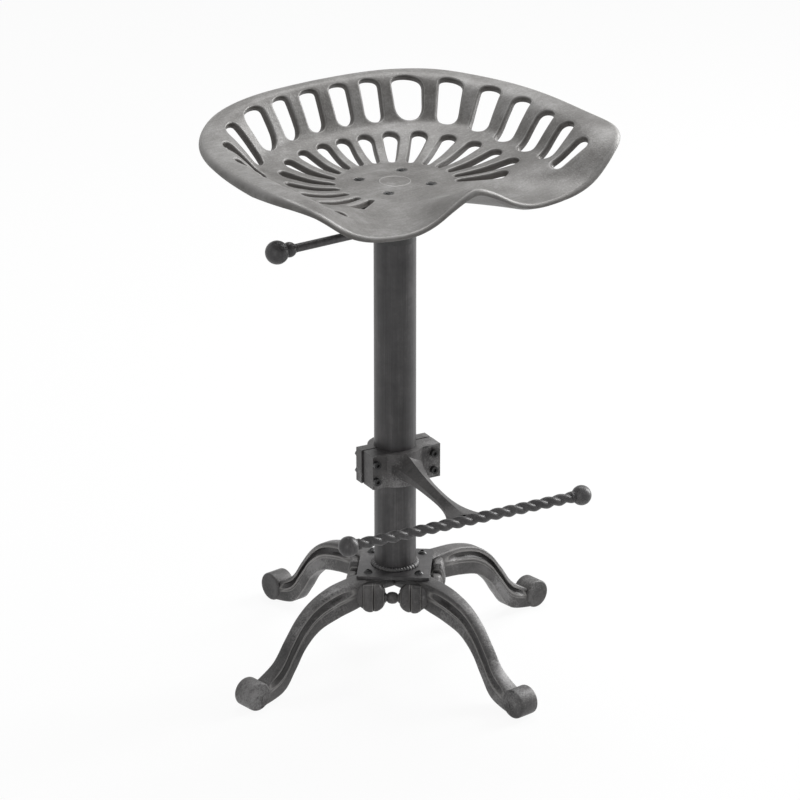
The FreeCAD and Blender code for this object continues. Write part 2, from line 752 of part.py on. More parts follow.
HOLE_STARTS = [0.62, 0.615, 0.615, 0.6, 0.585, 0.55, 0.55, 0.58, 0.67]
HOLE_ENDS = [0.86, 0.86, 0.87, 0.88, 0.885, 0.875, 0.845, 0.835, 0.83]
HOLE_INNER_SHARE = 0.9
HOLE_WIDTHS = [23, 22, 37, 26, 21, 20, 20, 19, 18]
SLOT_INNER = [0, 16.3, 32, 49, 65, 80, 95.5, 110, 123.5]
SLOT_OUTER = [0, 16, 32.5, 48.5, 64.5, 80.5, 96.5, 111.5, 124]
SLOT_SPAN = (0.03, 0.45)
SLOT_WIDTHS = (7.0, 17.0)
RING_POINTS = 56


def rim_reach(angle):
    """Distance of the rim's ridge from the column, on a two-part superellipse."""
    across = math.sin(math.radians(angle))
    along = -math.cos(math.radians(angle))
    near, far = 0.0, 400.0
    for _ in range(40):
        reach = (near + far) / 2
        x = abs(reach * across) / size.seat_half_width
        forward = reach * along - size.seat_widest
        if forward < 0:
            power = size.seat_back_power
            y = -forward / (size.seat_back + size.seat_widest)
        else:
            power = size.seat_front_power
            y = forward / (size.seat_front - size.seat_widest)
        if x ** power + y ** power < 1:
            near = reach
        else:
            far = reach
    return reach


def seat_profile(angle, place):
    """Distance from the column and height over the disc at a place from disc (0) to rim (1)."""
    angle = abs(angle)
    reach = size.seat_disc + (rim_reach(angle) - size.seat_disc) * place
    blend = min(max((angle - FRONT_BLEND[0]) / (FRONT_BLEND[1] - FRONT_BLEND[0]), 0), 1)
    blend = blend * blend * (3 - 2 * blend)
    wall = smooth(WALL_PLACES, WALL_RISES, place)
    front = smooth(FRONT_PLACES, FRONT_RISES, place)
    rise = (1 - blend) * wall + blend * front
    return reach, smooth(RIM_ANGLES, RIM_HEIGHTS, angle) * rise


def under_profile(angle, place):
    """The underside: the top's profile moved along its normal by the casting's thickness."""
    if place == 0:
        return size.seat_disc, -size.seat_thick
    step = 0.01
    low = seat_profile(angle, max(place - step, 0))
    high = seat_profile(angle, min(place + step, 1))
    run = high[0] - low[0]
    rise = high[1] - low[1]
    length = math.hypot(run, rise)
    here = seat_profile(angle, place)
    return here[0] + size.seat_thick * rise / length, here[1] - size.seat_thick * run / length


def edge_profile(angle, turn):
    """The rolled edge: a quarter of an ellipse from the ridge outwards and down."""
    reach, height = seat_profile(angle, 1)
    out = smooth(RIM_ANGLES, EDGE_REACH, angle)
    drop = smooth(RIM_ANGLES, EDGE_DROP, angle)
    radians = math.radians(turn)
    return reach + out * math.sin(radians), height - drop * (1 - math.cos(radians))


def seat_point(angle, reach, height):
    radians = math.radians(angle)
    return Vector(reach * math.sin(radians), reach * math.cos(radians), size.seat_top + height)


def seat_ring(profile):
    angles = [360.0 * number / RING_POINTS - 180.0 for number in range(RING_POINTS)]
    points = [seat_point(angle, *profile(abs(angle))) for angle in angles]
    curve = Part.BSplineCurve()
    curve.interpolate(Points=points, PeriodicFlag=True, Parameters=list(range(RING_POINTS + 1)))
    return Part.Wire([curve.toShape()])


def seat_blank():
    """Bowl, rolled edge, land below it, underside and the two flat faces of the disc."""
    bowl = [seat_ring(lambda angle, place=place: seat_profile(angle, place)) for place in TOP_PLACES]
    under = [seat_ring(lambda angle, place=place: under_profile(angle, place)) for place in UNDER_PLACES]
    edge = [seat_ring(lambda angle, turn=turn: edge_profile(angle, turn)) for turn in (30, 60, 90)]
    faces = Part.makeLoft(bowl, False, False).Faces
    faces += Part.makeLoft([bowl[-1]] + edge, False, False).Faces
    faces += Part.makeLoft([edge[-1], under[-1]], False, True).Faces
    faces += Part.makeLoft(under, False, False).Faces
    faces += [Part.Face(bowl[0]), Part.Face(under[0])]
    shell = Part.Shell(faces)
    shell.sewShape(0.01)
    return Part.makeSolid(Part.Shell(shell.Faces))


def slot_cutter(start, finish, start_width, finish_width):
    """A tapered slot with round ends, cut square to the line between its end points."""
    along = finish - start
    length = along.Length
    along.normalize()
    middle = (start + finish) * 0.5
    across = Vector(-middle.y, middle.x, 0)
    across = across - along * across.dot(along)
    across.normalize()
    upward = along.cross(across)
    first = start_width / 2
    last = finish_width / 2
    # centre distance and tangent angle of the two end circles
    spread = length - first - last
    lean = math.asin((last - first) / spread)
    corners = []
    for centre, radius, side in ((first, first, 1), (length - last, last, 1),
                                 (length - last, last, -1), (first, first, -1)):
        corners.append((centre - radius * math.sin(lean), side * radius * math.cos(lean)))
    spots = [start + along * a + across * b for a, b in corners]
    far_end = finish
    near_end = start
    wire = Part.Wire([
        Part.makeLine(spots[0], spots[1]),
        Part.Arc(spots[1], far_end, spots[2]).toShape(),
        Part.makeLine(spots[2], spots[3]),
        Part.Arc(spots[3], near_end, spots[0]).toShape(),
    ])
    depth = 26.0
    face = Part.Face(wire)
    face.translate(upward * -depth)
    return face.extrude(upward * 2 * depth)


def seat_cutters():
    cutters = []
    for number in range(9):
        for side in (-1, 1):
            inner_angle = side * HOLE_INNER[number]
            outer_angle = side * HOLE_OUTER[number]
            inner = seat_point(inner_angle, *seat_profile(inner_angle, HOLE_STARTS[number]))
            outer = seat_point(outer_angle, *seat_profile(outer_angle, HOLE_ENDS[number]))
            width = HOLE_WIDTHS[number]
            cutters.append(slot_cutter(inner, outer, HOLE_INNER_SHARE * width, width))
    pairs = list(zip(SLOT_INNER, SLOT_OUTER))
    pairs += [(-inner_angle, -outer_angle) for inner_angle, outer_angle in pairs[1:]]
    for inner_angle, outer_angle in pairs:
        inner = seat_point(inner_angle, *seat_profile(inner_angle, SLOT_SPAN[0]))
        outer = seat_point(outer_angle, *seat_profile(outer_angle, SLOT_SPAN[1]))
        cutters.append(slot_cutter(inner, outer, *SLOT_WIDTHS))
    return cutters


def make_seat():
    seat = seat_blank()
    if seat.Volume < 0:
        seat.reverse()
    cutters = seat_cutters()
    offset = size.seat_screw_offset
    rise = size.seat_screw_head - size.screw_shank
    for place in square_places(offset, size.seat_top):
        cutters.append(Part.makeCylinder(size.screw_hole, 40, place.Base - Vector(0, 0, 20)))
        sink = Part.makeCone(size.screw_hole, size.seat_screw_head + 0.9, rise + 0.6,
                             place.Base - Vector(0, 0, rise + 0.6))
        cutters.append(sink)
    seat = seat.cut(cutters)
    mark = Part.makeCylinder(size.seat_ring_mark + 0.7, 1.0, Vector(0, 0, size.seat_top - 0.5))
    mark = mark.cut(Part.makeCylinder(size.seat_ring_mark - 0.7, 2.0, Vector(0, 0, size.seat_top - 1)))
    feature("seat_casting", seat.fuse(mark).removeSplitter())


# Footrest, modelled with its arm along -Y and turned about the column afterwards

ARM_STATIONS = [
    # distance from the column, middle height, half height, half width
    (22, 254, 20, 22),
    (36, 253, 17, 17),
    (60, 250, 12, 11),
    (95, 246, 8, 8.5),
    (130, 243, 6, 10),
    (154, 241.5, 5.5, 17),
    (170, 241, 5.5, 27),
]


def arm_section(distance, middle, half_height, half_width):
    """A six-sided section with a ridge along its top and bottom."""
    corners = [(-half_width, 0.35), (0, 1), (half_width, 0.35), (half_width, -0.35), (0, -1),
               (-half_width, -0.35)]
    points = [Vector(x, -distance, middle + part * half_height) for x, part in corners]
    return Part.makePolygon(points + points[:1])


def make_clamp_front():
    low = size.clamp_height - size.clamp_half_height
    height = 2 * size.clamp_half_height
    half = size.clamp_half_width
    core = size.column_radius + size.clamp_fit
    shell = Part.makeCylinder(core + 9, height, Vector(0, 0, low))
    ears = Part.makeBox(2 * half, size.clamp_depth - size.clamp_split, height,
                        Vector(-half, -size.clamp_depth, low))
    arm = Part.makeLoft([arm_section(*station) for station in ARM_STATIONS], True, False)
    front = shell.fuse([ears, arm])
    rear = Part.makeBox(200, 100, 200, Vector(-100, -size.clamp_split, low - 60))
    hole = Part.makeCylinder(core, 3 * height, Vector(0, 0, low - height))
    holes = clamp_holes(size.screw_hole)
    holes = clamp_holes(size.screw_hole)
    shape = front.cut([rear, hole, straight_bar()] + holes).removeSplitter()
    feature("clamp_front", shape, size.footrest_turn)


def clamp_screw_spots():
    half = size.clamp_screw_spacing / 2
    return [
        (side * size.clamp_screw_offset, size.clamp_height + level * half)
        for side in (-1, 1) for level in (-1, 1)
    ]


def clamp_holes(radius):
    return [Part.makeCylinder(radius, 120, Vector(x, -60, z), Vector(0, 1, 0)) for x, z in clamp_screw_spots()]


def make_clamp_back():
    low = size.clamp_height - size.clamp_half_height
    height = 2 * size.clamp_half_height
    half = size.clamp_half_width
    core = size.column_radius + size.clamp_fit
    shell = Part.makeCylinder(core + 8, height, Vector(0, 0, low))
    ears = Part.makeBox(2 * half, size.clamp_back_depth - size.clamp_split, height,
                        Vector(-half, size.clamp_split, low))
    front = Part.makeBox(200, 100, 200, Vector(-100, size.clamp_split - 100, low - 60))
    hole = Part.makeCylinder(core, 3 * height, Vector(0, 0, low - height))
    shape = shell.fuse(ears).cut([front, hole] + clamp_holes(size.screw_hole)).removeSplitter()
    feature("clamp_back", shape, size.footrest_turn)


def make_clamp_fasteners():
    head = cylinder("ClampScrewHead", "clamp_screw_head", "clamp_screw_head_thick")
    socket = hexagon("ClampScrewSocket", "clamp_screw_head * 0.55", "3", z="clamp_screw_head_thick - 2.4")
    shank = cylinder("ClampScrewShank", "screw_shank", "clamp_depth + clamp_back_depth + nut_thick + 1",
                     z="-(clamp_depth + clamp_back_depth + nut_thick + 1)")
    pattern = fuse("ClampScrewPattern", cut("ClampScrewDrive", head, socket), shank)
    front = [at(x, -size.clamp_depth, z, (1, 0, 0), 90) for x, z in clamp_screw_spots()]
    set_of("clamp_screws", pattern, front, size.footrest_turn)
    block = hexagon("ClampNutBlock", "nut_radius", "nut_thick")
    bore = cylinder("ClampNutBore", "screw_shank + 0.02", "3 * nut_thick", z="-nut_thick")
    nut = cut("ClampNutPattern", block, bore)
    rear = [at(x, size.clamp_back_depth, z, (1, 0, 0), -90) for x, z in clamp_screw_spots()]
    set_of("clamp_nuts", nut, rear, size.footrest_turn)


def straight_bar():
    half = size.bar_half_length
    start = Vector(-half, -size.bar_reach, size.bar_height)
    return Part.makeCylinder(size.bar_radius, 2 * half, start, Vector(1, 0, 0))


def make_foot_bar():
    """The bar for the feet, with a ball at each end."""
    bar = straight_bar()
    feature("foot_bar", bar, size.footrest_turn)
    balls = []
    for side in (-1, 1):
        centre = Vector(side * size.bar_half_length, -size.bar_reach, size.bar_height)
        balls.append(Part.makeSphere(size.bar_ball, centre, Vector(1, 0, 0)).cut(bar))
    feature("bar_balls", Part.makeCompound(balls), size.footrest_turn)


make_legs()
make_ties()
make_base_plate()
make_plate_screws()
make_column()
make_weld()
make_top_bush()
make_bottom_cup()
make_thrust_bearing()
make_piston_rod()
make_piston()
make_gas_cylinder()
make_seat_hub()
make_seat_fasteners()
make_lever()
make_lever_knob()
make_seat()
make_clamp_front()
make_clamp_back()
make_clamp_fasteners()
make_foot_bar()
doc.recompute()

for thing in doc.Objects:
    if "Invalid" in thing.State or "Error" in thing.State:
        raise RuntimeError(f"{thing.Label} did not compute")
os.makedirs("parts", exist_ok=True)
for thing in parts:
    shape = thing.Shape
    if shape.isNull() or not shape.isValid() or not shape.Solids:
        raise RuntimeError(f"{thing.Label} has no valid shape")
    print(f"{thing.Label}: {len(shape.Solids)} solids, {shape.Volume / 1000:.2f} cm3")
    shape.exportStep(f"parts/{thing.Label}.step")
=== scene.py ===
import json
import math

import bmesh
import bpy
import numpy as np
from mathutils import Matrix, Vector


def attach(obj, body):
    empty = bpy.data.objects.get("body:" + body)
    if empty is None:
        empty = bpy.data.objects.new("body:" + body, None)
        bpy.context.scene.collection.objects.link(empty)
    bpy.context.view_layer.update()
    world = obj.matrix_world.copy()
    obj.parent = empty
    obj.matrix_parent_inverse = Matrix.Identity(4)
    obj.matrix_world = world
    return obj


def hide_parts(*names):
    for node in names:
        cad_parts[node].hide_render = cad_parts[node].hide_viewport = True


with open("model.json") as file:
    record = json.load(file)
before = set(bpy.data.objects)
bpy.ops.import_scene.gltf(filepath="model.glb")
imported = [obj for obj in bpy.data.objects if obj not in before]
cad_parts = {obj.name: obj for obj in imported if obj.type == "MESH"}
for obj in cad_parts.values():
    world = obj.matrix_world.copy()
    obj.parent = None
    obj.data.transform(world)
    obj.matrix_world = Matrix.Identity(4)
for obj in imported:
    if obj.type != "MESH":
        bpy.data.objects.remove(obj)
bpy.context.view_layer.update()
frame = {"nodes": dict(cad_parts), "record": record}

# Lengths are millimetres until a mesh is made. The sitter faces -Y, +Z is up.
# MM turns them into metres. POLE is the radius at which a turned shape closes on its axis.

MM = 0.001
POLE = 0.001
BASE_TURN = 6.3
FOOTREST_TURN = -6.0

SEAT_TOP = 604.0
SEAT_THICK = 8.0
DISC = 66.0
HALF_WIDTH = 230.0
BACK = 167.0
FRONT = 160.0
WIDEST = 59.0
BACK_POWER = 2.75
FRONT_POWER = 4.6

TIE_CIRCLE = 50.0
TIE_HEIGHT = 97.0
TIE_HALF = 8.5
PLATE_TOP = 121.0
TUBE_SKIN = 24.6

BAR_REACH = 172.0
BAR_HEIGHT = 241.0
BAR_HALF = 155.0
BAR_BALL = 12.0
LEVER_HEIGHT = 550.0
KNOB_REACH = 164.0
KNOB_BALL = 13.9
KNOB_BEAD = 9.0

LENS_PIXELS = 4187.9
PHOTO_PIXELS = 800.0
SENSOR_WIDTH = 36.0
CAMERA_PLACE = (-2.6236, -3.7796, 2.1674)
CAMERA_YAW = -34.839
CAMERA_PITCH = 68.242
CAMERA_ROLL = -0.02
LAMP_AIM = (0.0, 0.0, 0.45)


# Shader maths

class Wire:
    """A node's output, on which arithmetic adds Math nodes."""

    def __init__(self, finish, socket):
        self.finish = finish
        self.socket = socket

    def math(self, operation, *values):
        return self.finish.node("ShaderNodeMath", {"operation": operation}, dict(enumerate(values)))

    def __add__(self, other):
        return self.math("ADD", self, other)

    def __radd__(self, other):
        return self.math("ADD", other, self)

    def __sub__(self, other):
        return self.math("SUBTRACT", self, other)

    def __rsub__(self, other):
        return self.math("SUBTRACT", other, self)

    def __mul__(self, other):
        return self.math("MULTIPLY", self, other)

    def __rmul__(self, other):
        return self.math("MULTIPLY", other, self)

    def __truediv__(self, other):
        return self.math("DIVIDE", self, other)

    def __pow__(self, other):
        return self.math("POWER", self, other)


class Finish:
    """A procedural material built from nodes."""

    def __init__(self, name):
        self.material = bpy.data.materials.new(name)
        self.material.use_nodes = True
        self.tree = self.material.node_tree
        self.tree.nodes.clear()
        self.output = self.tree.nodes.new("ShaderNodeOutputMaterial")

    def node(self, kind, settings=None, sockets=None, out=0):
        """Adds a node, gives it its settings, then the values or links of its sockets."""
        made = self.tree.nodes.new(kind)
        for name, value in (settings or {}).items():
            if name == "stops":
                ramp = made.color_ramp
                while len(ramp.elements) < len(value):
                    ramp.elements.new(0.5)
                for element, (place, colour) in zip(ramp.elements, value):
                    element.position = place
                    tint = colour if isinstance(colour, tuple) else (colour, colour, colour)
                    element.color = (*tint, 1.0)
            else:
                setattr(made, name, value)
        for name, value in (sockets or {}).items():
            target = made.inputs[name]
            if isinstance(value, Wire):
                self.tree.links.new(value.socket, target)
            elif isinstance(value, tuple) and target.type == "RGBA":
                target.default_value = (*value, 1.0)
            else:
                target.default_value = value
        return Wire(self, made.outputs[out])

    def place(self):
        return self.node("ShaderNodeTexCoord", out="Object")

    def stretched(self, x, y, z):
        """The place on the object with its axes scaled, for patterns that run one way."""
        return self.node("ShaderNodeMapping", None, {"Vector": self.place(), "Scale": (x, y, z)})

    def noise(self, vector, scale, detail=4.0, roughness=0.55):
        return self.node(
            "ShaderNodeTexNoise", None,
            {"Vector": vector, "Scale": scale, "Detail": detail, "Roughness": roughness}, "Fac",
        )

    def ramp(self, value, *stops):
        return self.node("ShaderNodeValToRGB", {"stops": stops}, {"Fac": value}, "Color")

    def attribute(self, name):
        return self.node("ShaderNodeAttribute", {"attribute_name": name}, None, "Fac")

    def mix(self, factor, first, second):
        return self.node(
            "ShaderNodeMix", {"data_type": "RGBA"}, {0: factor, 6: first, 7: second}, 2
        )

    def bump(self, height, strength, distance):
        return self.node(
            "ShaderNodeBump", None, {"Height": height, "Strength": strength, "Distance": distance}, "Normal"
        )

    def surface(self, **sockets):
        named = {name.replace("_", " "): value for name, value in sockets.items()}
        shader = self.node("ShaderNodeBsdfPrincipled", None, named)
        self.tree.links.new(shader.socket, self.output.inputs["Surface"])
        return self.material


def pewter_finish():
    """The seat: bare grey casting, with a painted highlight, partly wear, on its edges and painted shade in
    the hole walls and underneath.
    """
    finish = Finish("seat_pewter")
    place = finish.place()
    wall = finish.attribute("wall")
    sideways = finish.node("ShaderNodeSeparateXYZ", None, {"Vector": place}, "X")
    forwards = finish.node("ShaderNodeSeparateXYZ", None, {"Vector": place}, "Y")
    reach = (sideways * sideways + forwards * forwards) ** 0.5
    # the ring mark is 2.5 mm wide to where its light edge fades out
    ring = finish.ramp((reach - 0.0168) * 400.0, (0.0, 0.0), (0.5, 1.0), (1.0, 0.0))
    clouds = finish.noise(place, 13.0, 6.0, 0.65)
    blotches = finish.noise(place, 45.0, 4.0, 0.6)
    grain = finish.noise(place, 420.0, 3.0, 0.7)
    brush = finish.noise(finish.stretched(0.12, 1.0, 1.0), 220.0, 3.0, 0.6)
    tone = finish.ramp(
        clouds * 0.5 + blotches * 0.2 + brush * 0.15 + grain * 0.15,
        (0.36, (0.062, 0.058, 0.053)), (0.50, (0.130, 0.125, 0.119)), (0.63, (0.235, 0.231, 0.226)),
    )
    # painted highlight on the rounded edges of the holes and on the rim's roll, partly rubbed wear
    painted_highlight_and_wear = finish.ramp(wall * 0.8 + grain * 0.2, (0.10, 0.0), (0.22, 1.0), (0.42, 0.0))
    bright = finish.mix(painted_highlight_and_wear * 0.5, tone, (0.36, 0.353, 0.345))
    marked = finish.mix(ring * 0.5, bright, (0.42, 0.415, 0.405))
    # painted shade down the hole walls, on the outside of the rim's roll and under the seat
    painted_hollow_shade = finish.ramp(wall * (0.7 + grain * 0.6), (0.45, 0.0), (0.95, 1.0))
    colour = finish.mix(painted_hollow_shade * 0.72, marked, (0.060, 0.053, 0.048))
    height = grain * 0.55 + blotches * 0.45
    return finish.surface(
        Base_Color=colour, Metallic=0.15, Roughness=0.36 + clouds * 0.2,
        Normal=finish.bump(height, 0.5, 0.0011),
    )


def iron_finish():
    """The legs and the clamp: dark waxed iron, worn lighter in patches, with painted shade in the legs'
    grooves and a painted highlight along their edges.
    """
    finish = Finish("dark_iron")
    place = finish.place()
    wall = finish.attribute("wall")
    clouds = finish.noise(place, 24.0, 5.0, 0.65)
    patches = finish.noise(place, 10.0, 4.0, 0.65)
    grain = finish.noise(place, 420.0, 3.0, 0.7)
    base = finish.ramp(
        clouds * 0.7 + grain * 0.3, (0.36, (0.018, 0.017, 0.017)), (0.64, (0.095, 0.091, 0.090)),
    )
    worn = finish.ramp(patches * 0.75 + grain * 0.25, (0.52, 0.0), (0.62, 1.0))
    lit = finish.mix(worn * 0.7, base, (0.26, 0.255, 0.255))
    # painted highlight along the edges of each leg's groove and on its ridge
    ridge = finish.ramp(wall, (0.0, 0.0), (0.12, 1.0), (0.3, 0.0))
    wear_and_painted_highlight = finish.mix(ridge * 0.6, lit, (0.32, 0.31, 0.30))
    # painted shade in the legs' grooves, under their blades and between the lug petals
    painted_hollow_shade = finish.ramp(wall, (0.35, 0.0), (0.8, 1.0))
    colour = finish.mix(painted_hollow_shade * 0.75, wear_and_painted_highlight, (0.018, 0.016, 0.016))
    return finish.surface(
        Base_Color=colour, Metallic=0.12, Roughness=0.38 + clouds * 0.16,
        Normal=finish.bump(grain * 0.5 + clouds * 0.5, 0.5, 0.001),
    )


def steel_finish():
    """The column, plate and lever: dark charcoal steel with streaks along its length."""
    finish = Finish("streaked_steel")
    streaks = finish.noise(finish.stretched(1.0, 1.0, 0.05), 120.0, 4.0, 0.6)
    scratches = finish.noise(finish.stretched(1.0, 1.0, 0.02), 520.0, 2.0, 0.5)
    clouds = finish.noise(finish.place(), 26.0, 5.0, 0.65)
    colour = finish.ramp(
        streaks * 0.3 + clouds * 0.5 + scratches * 0.2,
        (0.36, (0.017, 0.016, 0.017)), (0.52, (0.044, 0.042, 0.043)), (0.68, (0.102, 0.097, 0.098)),
    )
    return finish.surface(
        Base_Color=colour, Metallic=0.1, Roughness=0.34 + clouds * 0.16,
        Normal=finish.bump(streaks * 0.5 + clouds * 0.5, 0.3, 0.0007),
    )


def bolt_finish():
    """Black oxide screws and nuts with a slight oily gloss."""
    finish = Finish("black_oxide")
    clouds = finish.noise(finish.place(), 90.0, 3.0, 0.6)
    colour = finish.ramp(clouds, (0.3, (0.012, 0.012, 0.012)), (0.7, (0.035, 0.035, 0.036)))
    return finish.surface(Base_Color=colour, Metallic=0.4, Roughness=0.24 + clouds * 0.12)


def plastic_finish():
    """Black moulded plastic of the bushes."""
    finish = Finish("bush_black")
    grain = finish.noise(finish.place(), 400.0, 2.0, 0.6)
    colour = finish.ramp(grain, (0.3, (0.022, 0.022, 0.022)), (0.7, (0.034, 0.034, 0.034)))
    return finish.surface(Base_Color=colour, Roughness=0.5, Normal=finish.bump(grain, 0.15, 0.0003))


def polished_finish():
    """Ground steel of the rod, the balls and the pins."""
    finish = Finish("ground_steel")
    rings = finish.noise(finish.stretched(0.1, 0.1, 1.0), 700.0, 2.0, 0.5)
    colour = finish.ramp(rings, (0.3, (0.42, 0.42, 0.43)), (0.7, (0.60, 0.60, 0.61)))
    return finish.surface(Base_Color=colour, Metallic=1.0, Roughness=0.16 + rings * 0.1)


# Meshes from arrays

class Shell:
    """Collects grids of points and joins them into one mesh."""

    def __init__(self):
        self.points = []
        self.faces = []
        self.walls = []
        self.count = 0

    def grid(self, points, wrap_rows=False, wrap_columns=False, flip=False, wall=0.0):
        """Adds a rows x columns x 3 grid; a face points along rows cross columns unless flipped."""
        rows, columns = points.shape[:2]
        index = np.arange(rows * columns).reshape(rows, columns) + self.count
        if wrap_rows:
            index = np.vstack([index, index[:1]])
        if wrap_columns:
            index = np.hstack([index, index[:, :1]])
        corners = [index[:-1, :-1], index[1:, :-1], index[1:, 1:], index[:-1, 1:]]
        quads = np.stack(corners, axis=-1).reshape(-1, 4)
        self.faces.append(quads[:, ::-1] if flip else quads)
        self.points.append(points.reshape(-1, 3))
        self.walls.append(np.broadcast_to(wall, (rows, columns)).reshape(-1))
        self.count += rows * columns
        return self

    def piece(self, name, node, body, finish, sharp=None, outward=False):
        """Makes the object, in metres, for one CAD node and lets it ride on that node's body."""
        points = np.vstack(self.points) * MM
        faces = np.vstack(self.faces)
        mesh = bpy.data.meshes.new(name)
        mesh.vertices.add(len(points))
        mesh.vertices.foreach_set("co", points.ravel())
        mesh.loops.add(faces.size)
        mesh.loops.foreach_set("vertex_index", faces.ravel())
        mesh.polygons.add(len(faces))
        mesh.polygons.foreach_set("loop_start", np.arange(len(faces)) * 4)
        mesh.update(calc_edges=True)
        layer = mesh.attributes.new("wall", "FLOAT", "POINT")
        layer.data.foreach_set("value", np.concatenate(self.walls).astype(np.float32))
        weld(mesh, outward)
        return dress(mesh, name, node, body, finish, sharp)


def weld(mesh, outward):
    """Merges the points that grids share, and turns the faces outwards where asked."""
    work = bmesh.new()
    work.from_mesh(mesh)
    bmesh.ops.remove_doubles(work, verts=work.verts, dist=0.00001)
    bmesh.ops.dissolve_degenerate(work, edges=work.edges, dist=0.000001)
    if outward:
        bmesh.ops.recalc_face_normals(work, faces=work.faces)
    work.to_mesh(mesh)
    work.free()


def dress(mesh, name, node, body, finish, sharp):
    mesh.polygons.foreach_set("use_smooth", np.ones(len(mesh.polygons), dtype=bool))
    if sharp is not None:
        mesh.set_sharp_from_angle(angle=math.radians(sharp))
    mesh.materials.append(finish)
    made = bpy.data.objects.new(name, mesh)
    bpy.context.scene.collection.objects.link(made)
    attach(made, body)
    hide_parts(*([node] if isinstance(node, str) else node))
    return made


def softened(node, body, finish, width, shorten=0.0):
    """A copy of a CAD node with its edges rounded, and its left end moved in where asked."""
    source = frame["nodes"][node]
    mesh = source.data.copy()
    points = np.empty(3 * len(mesh.vertices), dtype=np.float32)
    mesh.vertices.foreach_get("co", points)
    straight = turned(points.reshape(-1, 3).astype(float), -FOOTREST_TURN)
    straight[:, 0] += np.where(straight[:, 0] < straight[:, 0].min() + MM, shorten * MM, 0.0)
    if shorten:
        mesh.vertices.foreach_set("co", turned(straight, FOOTREST_TURN).ravel())
    work = bmesh.new()
    work.from_mesh(mesh)
    bmesh.ops.remove_doubles(work, verts=work.verts, dist=0.000005)
    bmesh.ops.dissolve_limit(
        work, angle_limit=math.radians(1.0), verts=work.verts, edges=work.edges, delimit={"NORMAL"}
    )
    work.to_mesh(mesh)
    work.free()
    mesh.materials.clear()
    made = dress(mesh, node + "_look", node, body, finish, 35.0)
    bevel = made.modifiers.new("rounded", "BEVEL")
    bevel.width = width * MM
    bevel.segments = 3
    bevel.limit_method = "ANGLE"
    bevel.angle_limit = math.radians(30.0)
    bevel.use_clamp_overlap = True
    return made


def turned(points, degrees):
    """Turns points about the column's axis."""
    cosine = math.cos(math.radians(degrees))
    sine = math.sin(math.radians(degrees))
    x, y, z = points[..., 0], points[..., 1], points[..., 2]
    return np.stack([x * cosine - y * sine, x * sine + y * cosine, z], axis=-1)


def monotone(stations, values, place):
    """Cubic through the stations whose slope is zero at each local extreme."""
    stations = np.asarray(stations, dtype=float)
    values = np.asarray(values, dtype=float)
    steps = np.diff(stations)
    slopes = np.diff(values) / steps
    tangents = np.concatenate([slopes[:1], np.zeros(len(stations) - 2), slopes[-1:]])
    before = 2 * steps[1:] + steps[:-1]
    after = steps[1:] + 2 * steps[:-1]
    rising = slopes[:-1] * slopes[1:] > 0
    safe = np.where(rising, slopes[:-1], 1.0), np.where(rising, slopes[1:], 1.0)
    tangents[1:-1] = np.where(rising, (before + after) / (before / safe[0] + after / safe[1]), 0.0)
    place = np.clip(place, stations[0], stations[-1])
    k = np.clip(np.searchsorted(stations, place, side="right") - 1, 0, len(steps) - 1)
    part = (place - stations[k]) / steps[k]
    return (
        (1 + 2 * part) * (1 - part) ** 2 * values[k]
        + part * (1 - part) ** 2 * steps[k] * tangents[k]
        + part ** 2 * (3 - 2 * part) * values[k + 1]
        + part ** 2 * (part - 1) * steps[k] * tangents[k + 1]
    )


def eased(table, spread, mode):
    """A table blurred by a bell curve of the given spread in table steps."""
    reach = int(4 * spread)
    bell = np.exp(-0.5 * (np.arange(-reach, reach + 1) / spread) ** 2)
    return np.convolve(np.pad(table, reach, mode), bell / bell.sum(), "valid")


# Seat. Angles run from the back (0) round to the front (180), the same on both sides.

RIM_ANGLES = [0, 25, 45, 65, 85, 105, 117, 125, 133, 142, 151, 160, 170, 180]
RIM_HEIGHTS = [79, 78, 74.5, 66, 61, 58, 57.5, 46, 15, 3, 1, 8.5, 26, 38.5]
WALL_PLACES = [0, 0.2, 0.45, 0.59, 0.72, 0.84, 0.93, 1]
WALL_RISES = [0, 0.08, 0.27, 0.36, 0.68, 0.94, 1, 1]
FRONT_PLACES = [0, 0.25, 0.5, 0.75, 1]
FRONT_RISES = [0, 0.17, 0.42, 0.72, 1]
FRONT_BLEND = (112, 135)
EDGE_REACH = [9, 9, 9, 9, 9, 9, 8, 7, 5, 4, 4, 4.5, 5, 5]
EDGE_DROP = [11, 11, 10, 10, 10, 13, 10, 7, 7.5, 6, 6, 7, 8, 8]
EDGE_TURN = 2.0
HOLE_INNER = [9, 25, 42, 58, 73, 88.5, 104, 117, 127.5]
HOLE_OUTER = [8, 23.5, 39, 55.5, 70, 83.5, 97, 108.5, 120.5]
HOLE_STARTS = [0.605, 0.60, 0.60, 0.585, 0.57, 0.54, 0.54, 0.565, 0.655]
HOLE_ENDS = [0.855, 0.855, 0.862, 0.872, 0.88, 0.87, 0.84, 0.83, 0.825]
HOLE_WIDTHS = [25, 24.5, 37, 29, 26, 25, 24, 22, 20]
HOLE_INNER_SHARE = 0.9
HOLE_ZONE = (0.51, 0.92)
HOLE_LAST = 136
SLOT_INNER = [0, 16.3, 32, 49, 65, 80, 95.5, 110, 123.5]
SLOT_OUTER = [0, 16, 32.5, 48.5, 64.5, 80.5, 96.5, 111.5, 124]
SLOT_SPAN = (0.03, 0.45)
LAST_SLOT_SPAN = (0.03, 0.35)
SLOT_WIDTHS = (8.0, 18.5)
SLOT_ZONE = (-0.03, 0.50)
SLOT_LAST = 132
TOP_ROUND = 3.0
WALL_DRAFT = 0.9
UNDER_ROUND = 1.2
SCREW_OFFSET = 30.0
RING_MARK = 18.0
LAND_PLACE = 0.955
UNDER_SHADE = 0.6

ANGLE_TABLE = np.arange(0, 180.01, 0.25)
PLACE_TABLE = np.linspace(0, 1, 401)


